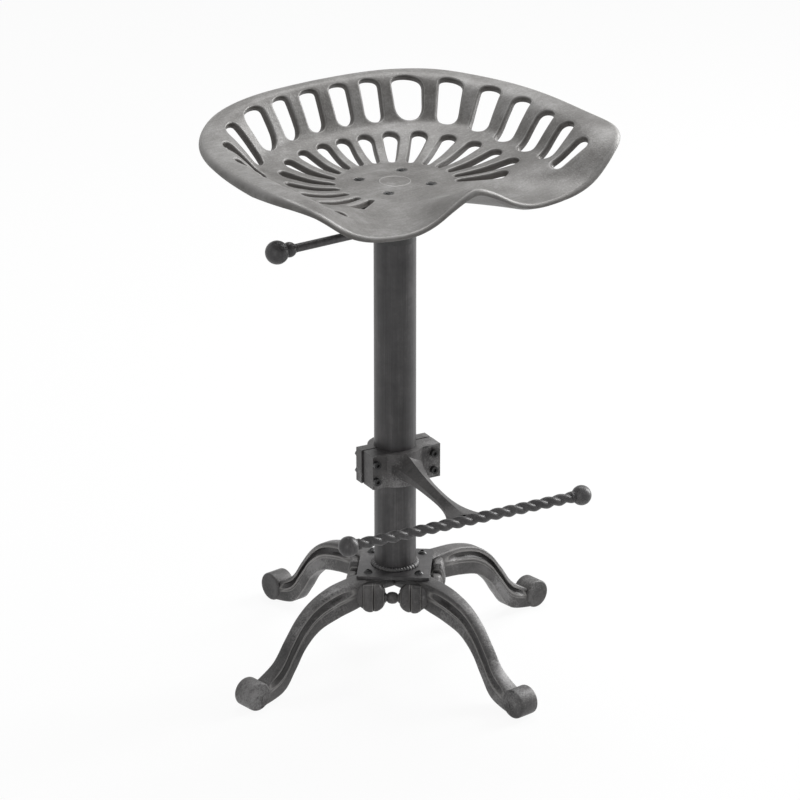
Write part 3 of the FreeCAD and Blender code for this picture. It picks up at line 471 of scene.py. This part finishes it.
def rim_reach_table():
    """Two-part superellipse |x/a|^n + |f/b|^n = 1 about its widest line, found by halving."""
    across = np.sin(np.radians(ANGLE_TABLE)) / HALF_WIDTH
    along = -np.cos(np.radians(ANGLE_TABLE))
    near = np.zeros_like(ANGLE_TABLE)
    far = np.full_like(ANGLE_TABLE, 400.0)
    for _ in range(40):
        middle = (near + far) / 2
        forward = middle * along - WIDEST
        rear = (middle * across) ** BACK_POWER + (np.abs(forward) / (BACK + WIDEST)) ** BACK_POWER
        fore = (middle * across) ** FRONT_POWER + (np.abs(forward) / (FRONT - WIDEST)) ** FRONT_POWER
        inside = np.where(forward < 0, rear, fore) < 1
        near = np.where(inside, middle, near)
        far = np.where(inside, far, middle)
    return eased(middle, 5.0, "reflect")


RIM_REACH = rim_reach_table()
RIM_HEIGHT = eased(monotone(RIM_ANGLES, RIM_HEIGHTS, ANGLE_TABLE), 10.0, "reflect")
WALL_RISE = eased(monotone(WALL_PLACES, WALL_RISES, PLACE_TABLE), 8.0, "edge")
FRONT_RISE = eased(monotone(FRONT_PLACES, FRONT_RISES, PLACE_TABLE), 8.0, "edge")


def rim_reach(angle):
    return np.interp(np.abs(angle), ANGLE_TABLE, RIM_REACH)


def in_plan(angle, place):
    """Plan position of a place from the disc's edge (0) to the rim's ridge (1)."""
    reach = DISC + (rim_reach(angle) - DISC) * place
    radians = np.radians(angle)
    return np.stack([reach * np.sin(radians), reach * np.cos(radians)], axis=-1)


def bowl_height(plan):
    """Rim height at that angle times the wall's rise, blended to the front's rise."""
    reach = np.hypot(plan[..., 0], plan[..., 1])
    angle = np.degrees(np.arctan2(np.abs(plan[..., 0]), plan[..., 1]))
    place = np.clip((reach - DISC) / (rim_reach(angle) - DISC), 0, 1)
    blend = np.clip((angle - FRONT_BLEND[0]) / (FRONT_BLEND[1] - FRONT_BLEND[0]), 0, 1)
    blend = blend * blend * (3 - 2 * blend)
    wall = np.interp(place, PLACE_TABLE, WALL_RISE)
    front = np.interp(place, PLACE_TABLE, FRONT_RISE)
    return np.interp(angle, ANGLE_TABLE, RIM_HEIGHT) * ((1 - blend) * wall + blend * front)


def disc_marks(plan):
    """A faint raised ring, and a countersink round each of the four screws."""
    reach = np.hypot(plan[..., 0], plan[..., 1])
    ring = 0.5 * np.exp(-((reach - RING_MARK) / 0.8) ** 2)
    from_screw = np.hypot(np.abs(plan[..., 0]) - SCREW_OFFSET, np.abs(plan[..., 1]) - SCREW_OFFSET)
    sink = np.clip(7.2 - from_screw, 0, 3.2)
    return ring - sink


def in_sheet(plan, depth):
    """The point at a depth below the seat's top, along its normal."""
    step = 0.6
    across = np.array([step, 0.0])
    along = np.array([0.0, step])
    slope_x = (bowl_height(plan + across) - bowl_height(plan - across)) / (2 * step)
    slope_y = (bowl_height(plan + along) - bowl_height(plan - along)) / (2 * step)
    normal = np.stack([-slope_x, -slope_y, np.ones_like(slope_x)], axis=-1)
    normal /= np.linalg.norm(normal, axis=-1, keepdims=True)
    top = np.concatenate([plan, (SEAT_TOP + bowl_height(plan))[..., None]], axis=-1)
    return top - normal * np.asarray(depth)[..., None]


def hole_outline(length, first, last, count_at):
    """A closed outline of two end circles and their tangents, at fractions of its length.

    It starts at the middle of the inner end and runs towards the positive side.
    """
    lean = math.asin((last - first) / max(length - first - last, 1.0))
    inner = np.linspace(math.pi, math.pi / 2 + lean, 60)
    outer = np.linspace(math.pi / 2 + lean, 0, 60)
    half = np.concatenate([
        np.stack([first + first * np.cos(inner), first * np.sin(inner)], axis=-1),
        np.stack([length - last + last * np.cos(outer), last * np.sin(outer)], axis=-1),
    ])
    whole = np.concatenate([half, (half * [1, -1])[::-1]])
    travelled = np.concatenate([[0], np.cumsum(np.linalg.norm(np.diff(whole, axis=0), axis=1))])
    fraction = travelled / travelled[-1]
    return np.stack([np.interp(count_at, fraction, whole[:, k]) for k in (0, 1)], axis=-1)


def cell_border(zone, inner_angles, outer_angles):
    """The closed border of one hole's cell in plan, from the middle of its inner arc."""
    middle = round((inner_angles[0] + inner_angles[1]) / 2)
    rise = np.linspace(0, 1, 15)[1:-1]
    inner = np.arange(middle, inner_angles[1] + 1)
    outer = np.arange(outer_angles[1], outer_angles[0] - 1, -1)
    back = np.arange(inner_angles[0], middle)
    up_side = inner_angles[1] + (outer_angles[1] - inner_angles[1]) * rise
    down_side = outer_angles[0] + (inner_angles[0] - outer_angles[0]) * rise
    low, high = zone
    angle = np.concatenate([inner, up_side, outer, down_side, back])
    place = np.concatenate([
        np.full(len(inner), low), low + (high - low) * rise, np.full(len(outer), high),
        high + (low - high) * rise, np.full(len(back), low),
    ])
    return in_plan(angle.astype(float), place)


def add_cell(shell, border, start, finish, widths):
    """Top, underside and rounded wall round one hole."""
    ends = in_sheet(np.stack([start, finish]), 0.0)
    length = np.linalg.norm(ends[1] - ends[0])
    along = (finish - start) / length
    across = np.array([along[1], -along[0]]) / np.linalg.norm(along)
    if across @ (border[3] - border[0]) < 0:
        across = -across
    travelled = np.linalg.norm(np.diff(np.vstack([border, border[:1]]), axis=0), axis=1)
    fraction = np.concatenate([[0], np.cumsum(travelled)[:-1]]) / travelled.sum()

    def outline(spread):
        shape = hole_outline(length + 2 * spread, widths[0] / 2 + spread, widths[1] / 2 + spread, fraction)
        return start + (shape[:, :1] - spread) * along + shape[:, 1:] * across

    steps = (np.linspace(0, 1, 7) ** 0.8)[:, None, None]
    for spread, depth, flip in ((TOP_ROUND, 0.0, False), (UNDER_ROUND - WALL_DRAFT, SEAT_THICK, True)):
        plan = border * (1 - steps) + outline(spread) * steps
        shade = 0.0 if depth == 0 else UNDER_SHADE
        sheet = in_sheet(plan, np.full(plan.shape[:2], depth))
        shell.grid(sheet, wrap_columns=True, flip=not flip, wall=shade)
    turn = np.linspace(0, math.pi / 2, 5)
    spreads = np.concatenate([
        TOP_ROUND * (1 - np.sin(turn)), UNDER_ROUND * (1 - np.cos(turn)) - WALL_DRAFT,
    ])
    depths = np.concatenate([
        TOP_ROUND * (1 - np.cos(turn)), SEAT_THICK - UNDER_ROUND * (1 - np.sin(turn)),
    ])
    plan = np.stack([outline(spread) for spread in spreads])
    # the wall values paint a highlight on the rounded top edge and shade down the hole wall
    shades = np.concatenate([[0, 0.15, 0.5, 0.8, 1], np.full(5, 1.0)])[:, None]
    depth = np.broadcast_to(depths[:, None], plan.shape[:2])
    shell.grid(in_sheet(plan, depth), wrap_columns=True, flip=True, wall=shades)


def add_band(shell, angles, places, wrap):
    """Top and underside of a plain stretch between two rings."""
    plan = in_plan(angles[None, :], places[:, None])
    for depth, flip in ((0.0, True), (SEAT_THICK, False)):
        shade = 0.0 if depth == 0 else UNDER_SHADE
        sheet = in_sheet(plan, np.full(plan.shape[:2], depth))
        shell.grid(sheet, wrap_columns=wrap, flip=flip, wall=shade)


def add_edge(shell, angles):
    """The rolled edge: a quarter ellipse outside the ridge, a small turn and a land below."""
    ridge = in_sheet(in_plan(angles, np.ones_like(angles)), np.zeros_like(angles))
    radians = np.radians(angles)
    outward = np.stack([np.sin(radians), np.cos(radians), np.zeros_like(angles)], axis=-1)
    reach = np.interp(np.abs(angles), RIM_ANGLES, EDGE_REACH)
    drop = np.interp(np.abs(angles), RIM_ANGLES, EDGE_DROP) - EDGE_TURN
    turn = np.linspace(0, math.pi / 2, 9)
    small = np.linspace(0, math.pi / 2, 5)[1:]
    out = np.concatenate([
        np.sin(turn)[:, None] * reach, reach - EDGE_TURN * (1 - np.cos(small))[:, None],
    ])
    fall = np.concatenate([
        (1 - np.cos(turn))[:, None] * drop, drop + EDGE_TURN * np.sin(small)[:, None],
    ])
    rows = ridge + outward * out[..., None] - np.array([0, 0, 1.0]) * fall[..., None]
    rings = in_plan(angles, np.full_like(angles, LAND_PLACE))
    inner = in_sheet(rings, np.full_like(angles, SEAT_THICK))
    rows = np.concatenate([rows, inner[None]])
    # the wall values paint a highlight on top of the roll and shade on its outside and underside
    shades = np.concatenate([np.linspace(0, 0.5, 9), np.full(4, 0.7), [UNDER_SHADE]])[:, None]
    shell.grid(rows, wrap_columns=True, flip=True, wall=shades)


def add_disc(shell, angles):
    """The flat middle: fine rings where the marks are, on top, and plain rings below."""
    fine = np.concatenate([
        [POLE, 6, 12, 15], np.arange(16, 20.1, 0.5), [23, 28, 33], np.arange(34, 51.1, 0.75), [55, 59],
    ])
    rim = in_plan(angles, np.full_like(angles, SLOT_ZONE[0]))
    unit = rim / np.linalg.norm(rim, axis=-1, keepdims=True)
    plan = np.concatenate([unit[None] * fine[:, None, None], rim[None]])
    top = in_sheet(plan, np.zeros(plan.shape[:2]))
    top[..., 2] += disc_marks(plan)
    shell.grid(top, wrap_columns=True, flip=True)
    plan = np.concatenate([unit[None] * POLE, unit[None] * 30, rim[None]])
    shell.grid(in_sheet(plan, np.full(plan.shape[:2], SEAT_THICK)), wrap_columns=True, wall=UNDER_SHADE)


def borders(angles, last):
    """Whole degrees half way between neighbouring holes, ended by the last one's own border."""
    return [round((low + high) / 2) for low, high in zip(angles, angles[1:])] + [last]


def hole_cells():
    """Each hole's cell: zone, its two pairs of border angles, its two end angles, places and widths."""
    inner = [0] + borders(HOLE_INNER, HOLE_LAST)
    outer = [0] + borders(HOLE_OUTER, HOLE_LAST)
    for side in (1, -1):
        for k, width in enumerate(HOLE_WIDTHS):
            inner_pair = sorted((side * inner[k], side * inner[k + 1]))
            outer_pair = sorted((side * outer[k], side * outer[k + 1]))
            ends = (side * HOLE_INNER[k], side * HOLE_OUTER[k])
            span = (HOLE_STARTS[k], HOLE_ENDS[k])
            yield HOLE_ZONE, inner_pair, outer_pair, ends, span, (HOLE_INNER_SHARE * width, width)
    inner = borders(SLOT_INNER, SLOT_LAST)
    outer = borders(SLOT_OUTER, SLOT_LAST)
    yield SLOT_ZONE, [-inner[0], inner[0]], [-outer[0], outer[0]], (0, 0), SLOT_SPAN, SLOT_WIDTHS
    for side in (1, -1):
        for k in range(1, len(SLOT_INNER)):
            inner_pair = sorted((side * inner[k - 1], side * inner[k]))
            outer_pair = sorted((side * outer[k - 1], side * outer[k]))
            ends = (side * SLOT_INNER[k], side * SLOT_OUTER[k])
            span = LAST_SLOT_SPAN if k == len(SLOT_INNER) - 1 else SLOT_SPAN
            yield SLOT_ZONE, inner_pair, outer_pair, ends, span, SLOT_WIDTHS


def make_seat(finish):
    """A height field over its plan, 8 mm thick, pierced by 18 wide and 17 narrow rounded slots."""
    shell = Shell()
    round_angles = np.arange(-180.0, 180.0, 1.0)
    for zone, inner_pair, outer_pair, ends, span, widths in hole_cells():
        border = cell_border(zone, inner_pair, outer_pair)
        start = in_plan(np.array(float(ends[0])), span[0])
        end = in_plan(np.array(float(ends[1])), span[1])
        add_cell(shell, border, start, end, widths)
    for (low, high), last in ((SLOT_ZONE, SLOT_LAST), (HOLE_ZONE, HOLE_LAST)):
        front = np.arange(float(last), 360.0 - last + 0.5, 1.0)
        front = np.where(front > 180, front - 360, front)
        add_band(shell, front, np.linspace(low, high, 15), False)
    add_band(shell, round_angles, np.array([SLOT_ZONE[1], HOLE_ZONE[0]]), True)
    plan = in_plan(round_angles[None, :], np.linspace(HOLE_ZONE[1], 1.0, 7)[:, None])
    shell.grid(in_sheet(plan, np.zeros(plan.shape[:2])), wrap_columns=True, flip=True)
    plan = in_plan(round_angles[None, :], np.linspace(HOLE_ZONE[1], LAND_PLACE, 3)[:, None])
    shell.grid(in_sheet(plan, np.full(plan.shape[:2], SEAT_THICK)), wrap_columns=True, wall=UNDER_SHADE)
    add_edge(shell, round_angles)
    add_disc(shell, round_angles)
    shell.piece("seat", "seat_casting", "lift", finish, outward=True)


# Legs. Each lies along +X before it is turned to its place.

LEG_TOP = [
    (2, 117), (50, 117), (72, 117), (100, 115), (128, 106), (150, 90), (168, 68), (186, 43), (213, 25),
]
LEG_BOTTOM = [
    (2, 97), (44, 97), (60, 85), (96, 79), (126, 71), (148, 54), (164, 31), (184, 9), (223, 0.4),
]
LEG_CAP = [12, 12, 11, 9, 7.5, 7, 7, 8, 10]
LEG_SIDE = [12, 12, 11, 10, 9.5, 9.5, 9.5, 10.5, 12.5]
FOOT_REACH = 223.0
FOOT_ROLL = 17.5
FOOT_SINK = 0.5
FOOT_HALF = 13.0


def natural(values, place):
    """Catmull-Rom curve through evenly numbered values, at fractional numbers."""
    values = np.asarray(values, dtype=float)
    k = np.clip(place.astype(int), 0, len(values) - 2)
    part = place - k
    before = values[np.clip(k - 1, 0, None)]
    first = values[k]
    second = values[k + 1]
    after = values[np.clip(k + 2, None, len(values) - 1)]
    return first + 0.5 * part * (
        second - before
        + part * (
            2 * before - 5 * first + 4 * second - after
            + part * (3 * (first - second) + after - before)
        )
    )


def closed_rows(points):
    """Adds a row at each end's middle, so that a tube is closed."""
    first = np.broadcast_to(points[:1].mean(axis=1, keepdims=True), points[:1].shape)
    last = np.broadcast_to(points[-1:].mean(axis=1, keepdims=True), points[-1:].shape)
    return np.concatenate([first, points, last])


def blade_points():
    """Loft between the top and bottom curves; its side has a cap, a groove, a ridge and a flank."""
    place = np.linspace(0, len(LEG_TOP) - 1, 97)
    top = np.stack([natural([point[k] for point in LEG_TOP], place) for k in (0, 1)], axis=-1)
    bottom = np.stack([natural([point[k] for point in LEG_BOTTOM], place) for k in (0, 1)], axis=-1)
    cap = natural(LEG_CAP, place)
    flank = natural(LEG_SIDE, place)
    groove = np.clip((place - 2.0) / 1.0, 0, 1) * np.clip((7.7 - place) / 0.6, 0, 1)
    groove = groove * groove * (3 - 2 * groove)
    down = np.array([
        0.0, 0.0, 0.02, 0.06, 0.17, 0.21, 0.34, 0.39, 0.42, 0.45, 0.51, 0.58, 0.90, 0.97, 1.0, 1.0,
    ])
    near_cap = np.array([0.0, 0.72, 0.9, 1.0, 1.0, 1, 0, 0, 0, 0, 0, 0, 0, 0, 0, 0])
    near_flank = np.array([0, 0, 0, 0, 0, 0, 1.0, 1.0, 1.0, 1.0, 1.0, 1.0, 1.0, 0.93, 0.8, 0.0])
    carved = np.array([0, 0, 0, 0, 0, -3.6, -4.4, -1.6, 0.6, 0.4, -1.2, -0.6, 0, 0, 0, 0])
    # wall values: painted shade in the groove and under the blade, a painted highlight on the groove's
    # edges and the ridge
    shade = np.array([0, 0, 0, 0, 0.12, 0.9, 1.0, 0.6, 0.12, 0.12, 0.3, 0, 0, 0, 0.2, 0.5])
    half = cap[:, None] * near_cap + flank[:, None] * near_flank + groove[:, None] * carved
    down = np.concatenate([down, down[-2:0:-1]])
    half = np.concatenate([half, -half[:, -2:0:-1]], axis=1)
    spine = top[:, None, :] + (bottom - top)[:, None, :] * down[None, :, None]
    shade = np.concatenate([shade, shade[-2:0:-1]])[None, :] * np.pad(groove, 1)[:, None]
    return closed_rows(np.stack([spine[..., 0], half, spine[..., 1]], axis=-1)), shade


def revolved(profile, count):
    """Turns (radius, along) pairs about the X axis: rows along the profile, columns round it."""
    angle = np.linspace(0, 2 * math.pi, count, endpoint=False)
    radius = profile[:, :1]
    along = np.broadcast_to(profile[:, 1:], (len(profile), count))
    return np.stack([along, radius * np.cos(angle), radius * np.sin(angle)], axis=-1)


def roll_points():
    """The scroll: a short roll across the foot with rounded rims and slightly dished ends."""
    rim = np.linspace(0, math.pi / 2, 6)
    edge = 2.5
    radius = np.concatenate([[POLE, 6, 11], FOOT_ROLL - edge + edge * np.sin(rim)])
    along = np.concatenate([
        [FOOT_HALF - 1.2, FOOT_HALF - 1.0, FOOT_HALF - 0.4], FOOT_HALF - edge + edge * np.cos(rim),
    ])
    profile = np.stack([
        np.concatenate([radius, radius[::-1]]), np.concatenate([along, -along[::-1]]),
    ], axis=-1)
    points = revolved(profile, 56)
    x, y, z = points[..., 0], points[..., 1], points[..., 2]
    return np.stack([FOOT_REACH + y, x, np.maximum(FOOT_ROLL - FOOT_SINK + z, 0.0)], axis=-1)


def lug_points():
    """A lug beside the line between two legs: two petals that widen downwards, rounded below."""
    across = np.linspace(-TIE_HALF, -46, 53)
    lean = np.linspace(0, 2 * math.pi, 40, endpoint=False)
    travelled = (-TIE_HALF - across) / 13.5
    petal = np.sqrt(np.clip(1 - (2 * (travelled % 1.0) - 1) ** 2, 0, 1))
    petal = np.where(travelled < 2.0, petal, 0.4)
    end = np.sqrt(1 - (1 - np.clip((-TIE_HALF - across) / 4.0, 0, 1)) ** 2)
    top = np.interp(across, [-46, -15, -TIE_HALF], [113, 114.5, 108])
    bottom = 80.0 + 10.0 * np.clip(np.abs(across + 25.0) / 17.0, 0, 1.1) ** 2 - 1.0 * petal
    depth = (5.8 + 4.0 * petal) * (0.7 + 0.3 * end)
    middle = (top + bottom) / 2
    half = (top - bottom) / 2 * (0.8 + 0.2 * end)
    square_x = np.sign(np.cos(lean)) * np.abs(np.cos(lean)) ** 0.5
    square_z = np.sign(np.sin(lean)) * np.abs(np.sin(lean)) ** 0.6
    x = TIE_CIRCLE + depth[:, None] * square_x * (0.88 - 0.16 * square_z)
    z = middle[:, None] + half[:, None] * square_z
    y = np.broadcast_to(across[:, None], x.shape)
    # painted shade in the creases between the petals, fading to a faint painted highlight on their slopes
    shade = np.pad(np.clip(0.9 - 1.3 * petal, 0, 1), 1)[:, None]
    return closed_rows(np.stack([x, y, z], axis=-1)), shade


def make_leg(name, direction, finish):
    shell = Shell()
    blade, shade = blade_points()
    roll = roll_points()
    shell.grid(turned(blade, direction), wrap_columns=True, wall=shade)
    shell.grid(turned(roll, direction), wrap_columns=True)
    lug, painted_lug_shade = lug_points()
    shell.grid(turned(lug, direction + 45.0), wrap_columns=True, wall=painted_lug_shade)
    shell.grid(turned(lug * [1, -1, 1], direction - 45.0), wrap_columns=True, wall=painted_lug_shade)
    shell.piece(name + "_look", name, "base", finish, sharp=50.0, outward=True)


def make_ties(finish):
    """A bead between two small collars, turned about the line that joins two legs."""
    profile = np.array([
        (POLE, -9.5), (5.6, -9.5), (6.2, -8.6), (5.8, -7.6), (4.4, -6.8), (4.8, -6.2), (6.3, -4.6),
        (7.0, -2.2), (7.2, 0), (7.0, 2.2), (6.3, 4.6), (4.8, 6.2), (4.4, 6.8), (5.8, 7.6), (6.2, 8.6),
        (5.6, 9.5), (POLE, 9.5),
    ])
    bead = revolved(profile, 32)
    shell = Shell()
    for quarter in range(4):
        points = np.stack([TIE_CIRCLE + bead[..., 1], bead[..., 0], TIE_HEIGHT + bead[..., 2]], axis=-1)
        shell.grid(turned(points, BASE_TURN + 45.0 + 90.0 * quarter), wrap_columns=True)
    shell.piece("tie_beads", "leg_ties", "base", finish, outward=True)


# Footrest

def make_twisted_bar(finish):
    """Two round strands side by side, whose joint outline turns evenly along the bar.

    Two circles of radius c at offsets +o and -o have the outline o |cos| + sqrt(c^2 - o^2 sin^2).
    """
    pitch = 34.0
    strand = 5.0
    offset = 2.0
    along = np.linspace(-BAR_HALF, BAR_HALF, 621)
    angle = np.linspace(0, 2 * math.pi, 48, endpoint=False)
    phase = angle[None, :] - (along * 2 * math.pi / pitch)[:, None]
    radius = offset * np.abs(np.cos(phase)) + np.sqrt(strand ** 2 - (offset * np.sin(phase)) ** 2)
    taper = np.clip((BAR_HALF - 6 - np.abs(along)) / 6, 0, 1)[:, None]
    radius = 6.2 + (radius - 6.2) * taper
    points = np.stack([
        np.broadcast_to(along[:, None], radius.shape),
        -BAR_REACH + radius * np.cos(angle),
        BAR_HEIGHT + radius * np.sin(angle),
    ], axis=-1)
    shell = Shell()
    shell.grid(turned(closed_rows(points), FOOTREST_TURN), wrap_columns=True)
    shell.piece("twisted_bar", "foot_bar", "footrest", finish, outward=True)


def ball_profile(radius, neck, count):
    """A ball's outline from its far pole to a short neck."""
    turn = np.linspace(0, math.pi - math.asin(neck / radius), count)
    return np.stack([np.maximum(radius * np.sin(turn), POLE), radius * np.cos(turn)], axis=-1)


def make_bar_balls(finish):
    shell = Shell()
    for side in (-1, 1):
        profile = ball_profile(BAR_BALL, 5.0, 30)
        profile = np.vstack([profile, [(6.6, -12.2), (6.6, -14.5), (5.0, -15.6), (POLE, -15.6)]])
        points = revolved(profile, 48)
        placed = np.stack([
            side * (BAR_HALF + points[..., 0]), -BAR_REACH + points[..., 1], BAR_HEIGHT + points[..., 2],
        ], axis=-1)
        shell.grid(turned(placed, FOOTREST_TURN), wrap_columns=True)
    shell.piece("bar_end_balls", "bar_balls", "footrest", finish, outward=True)


def make_knob(finish):
    """The lever's ball, neck and bead, turned about the rod."""
    ball = ball_profile(KNOB_BALL, 6.0, 34)
    bead_turn = np.linspace(0.55, math.pi - 0.1, 20)
    bead = np.stack([KNOB_BEAD * np.sin(bead_turn), -16.5 + KNOB_BEAD * np.cos(bead_turn)], axis=-1)
    profile = np.vstack([ball, bead, [(5.2, -25.6), (POLE, -25.6)]])
    points = revolved(profile, 48)
    placed = np.stack([
        -KNOB_REACH - points[..., 0], points[..., 1], LEVER_HEIGHT + points[..., 2],
    ], axis=-1)
    shell = Shell()
    shell.grid(placed, wrap_columns=True)
    shell.piece("lever_ball", "lever_knob", "lever", finish, outward=True)


def make_weld(finish):
    """A ring of overlapping weld ripples round the column's foot."""
    around = np.linspace(0, 2 * math.pi, 240, endpoint=False)
    ripple = 0.7 * np.abs(np.sin(around * 21 + 1.3 * np.sin(around * 3)))
    wander = 0.5 * np.sin(around * 5 + 1.0) + 0.4 * np.sin(around * 11)
    turn = np.linspace(0, math.pi / 2, 9)
    size = 4.0 + ripple + wander * 0.5
    radius = TUBE_SKIN + size[None, :] * np.cos(turn)[:, None]
    height = PLATE_TOP + size[None, :] * np.sin(turn)[:, None]
    radius = np.vstack([np.full((1, 240), TUBE_SKIN), radius])
    height = np.vstack([np.full((1, 240), PLATE_TOP), height])
    points = np.stack([radius * np.cos(around), radius * np.sin(around), height], axis=-1)
    shell = Shell()
    shell.grid(points, wrap_rows=True, wrap_columns=True)
    shell.piece("weld_ripples", "column_weld", "base", finish, outward=True)


# Camera, light and floor

def make_camera():
    camera = bpy.data.cameras.new("photo_view")
    camera.sensor_width = SENSOR_WIDTH
    camera.lens = LENS_PIXELS / PHOTO_PIXELS * SENSOR_WIDTH
    camera.clip_start = 0.1
    camera.clip_end = 50.0
    made = bpy.data.objects.new("photo_view", camera)
    bpy.context.scene.collection.objects.link(made)
    yaw = Matrix.Rotation(math.radians(CAMERA_YAW), 4, "Z")
    pitch = Matrix.Rotation(math.radians(CAMERA_PITCH), 4, "X")
    roll = Matrix.Rotation(math.radians(CAMERA_ROLL), 4, "Z")
    made.matrix_world = Matrix.Translation(CAMERA_PLACE) @ yaw @ pitch @ roll
    bpy.context.scene.camera = made


def make_lamp(name, where, size, power):
    lamp = bpy.data.lights.new(name, "AREA")
    lamp.shape = "RECTANGLE"
    lamp.size = size[0]
    lamp.size_y = size[1]
    lamp.energy = power
    made = bpy.data.objects.new(name, lamp)
    bpy.context.scene.collection.objects.link(made)
    aim = Vector(LAMP_AIM) - Vector(where)
    made.matrix_world = Matrix.Translation(where) @ aim.to_track_quat("-Z", "Y").to_matrix().to_4x4()


def make_world():
    """White where the camera or a reflection sees it, and a soft even light elsewhere."""
    world = bpy.data.worlds.new("studio")
    bpy.context.scene.world = world
    world.use_nodes = True
    tree = world.node_tree
    tree.nodes.clear()
    path = tree.nodes.new("ShaderNodeLightPath")
    seen = tree.nodes.new("ShaderNodeMath")
    seen.operation = "MAXIMUM"
    shown = tree.nodes.new("ShaderNodeMath")
    shown.operation = "MAXIMUM"
    tree.links.new(path.outputs["Is Glossy Ray"], seen.inputs[0])
    tree.links.new(path.outputs["Is Transmission Ray"], seen.inputs[1])
    tree.links.new(path.outputs["Is Camera Ray"], shown.inputs[0])
    tree.links.new(seen.outputs[0], shown.inputs[1])
    soft = tree.nodes.new("ShaderNodeBackground")
    soft.inputs["Strength"].default_value = 0.24
    white = tree.nodes.new("ShaderNodeBackground")
    white.inputs["Color"].default_value = (1, 1, 1, 1)
    both = tree.nodes.new("ShaderNodeMixShader")
    out = tree.nodes.new("ShaderNodeOutputWorld")
    soft.inputs["Color"].default_value = (1, 1, 1, 1)
    tree.links.new(shown.outputs[0], both.inputs[0])
    tree.links.new(soft.outputs[0], both.inputs[1])
    tree.links.new(white.outputs[0], both.inputs[2])
    tree.links.new(both.outputs[0], out.inputs["Surface"])


def make_floor():
    """A wide pale floor that shows white to the camera and keeps a faint shadow."""
    finish = Finish("floor_white")
    diffuse = finish.node("ShaderNodeBsdfDiffuse", None, {"Color": (0.86, 0.86, 0.86)})
    white = finish.node("ShaderNodeEmission", None, {"Color": (1, 1, 1), "Strength": 1.0})
    camera_ray = finish.node("ShaderNodeLightPath", None, None, "Is Camera Ray")
    glossy_ray = finish.node("ShaderNodeLightPath", None, None, "Is Glossy Ray")
    shown = camera_ray.math("MAXIMUM", camera_ray, glossy_ray)
    mixed = finish.node("ShaderNodeMixShader", None, {0: shown * 0.93, 1: diffuse, 2: white})
    finish.tree.links.new(mixed.socket, finish.output.inputs["Surface"])
    mesh = bpy.data.meshes.new("floor")
    side = 12.0
    corners = [(-side, -side, 0), (side, -side, 0), (side, side, 0), (-side, side, 0)]
    mesh.from_pydata(corners, [], [(0, 1, 2, 3)])
    mesh.materials.append(finish.material)
    made = bpy.data.objects.new("floor", mesh)
    bpy.context.scene.collection.objects.link(made)
    made.location = (0, 0, -0.0005)


pewter = pewter_finish()
iron = iron_finish()
steel = steel_finish()
bolt = bolt_finish()
plastic = plastic_finish()
polished = polished_finish()

by_slot = {
    "seat_iron": pewter, "base_iron": iron, "column_steel": steel, "bolt_steel": bolt,
    "bush_plastic": plastic, "polished_steel": polished,
}
for subpart in frame["record"]["subparts"]:
    node = frame["nodes"][subpart["node"]]
    for material_slot in node.material_slots:
        material_slot.material = by_slot[subpart["material_slot"]]

make_seat(pewter)
for leg, direction in (("leg_front", -90), ("leg_left", 0), ("leg_rear", 90), ("leg_right", 180)):
    make_leg(leg, direction + BASE_TURN, iron)
make_ties(iron)
softened("base_plate", "base", steel, 0.8)
softened("clamp_front", "footrest", iron, 2.6, 5.0)
softened("clamp_back", "footrest", iron, 3.5, 3.0)
make_twisted_bar(steel)
make_bar_balls(steel)
make_knob(steel)
make_weld(steel)

make_camera()
make_world()
make_floor()
make_lamp("top_soft", (0.8, 0.9, 2.9), (1.2, 1.2), 46)
make_lamp("right_soft", (2.4, -0.2, 1.3), (0.7, 2.2), 88)
make_lamp("left_soft", (-2.4, -1.6, 1.2), (0.5, 1.8), 11)
bpy.context.scene.view_settings.view_transform = "Standard"
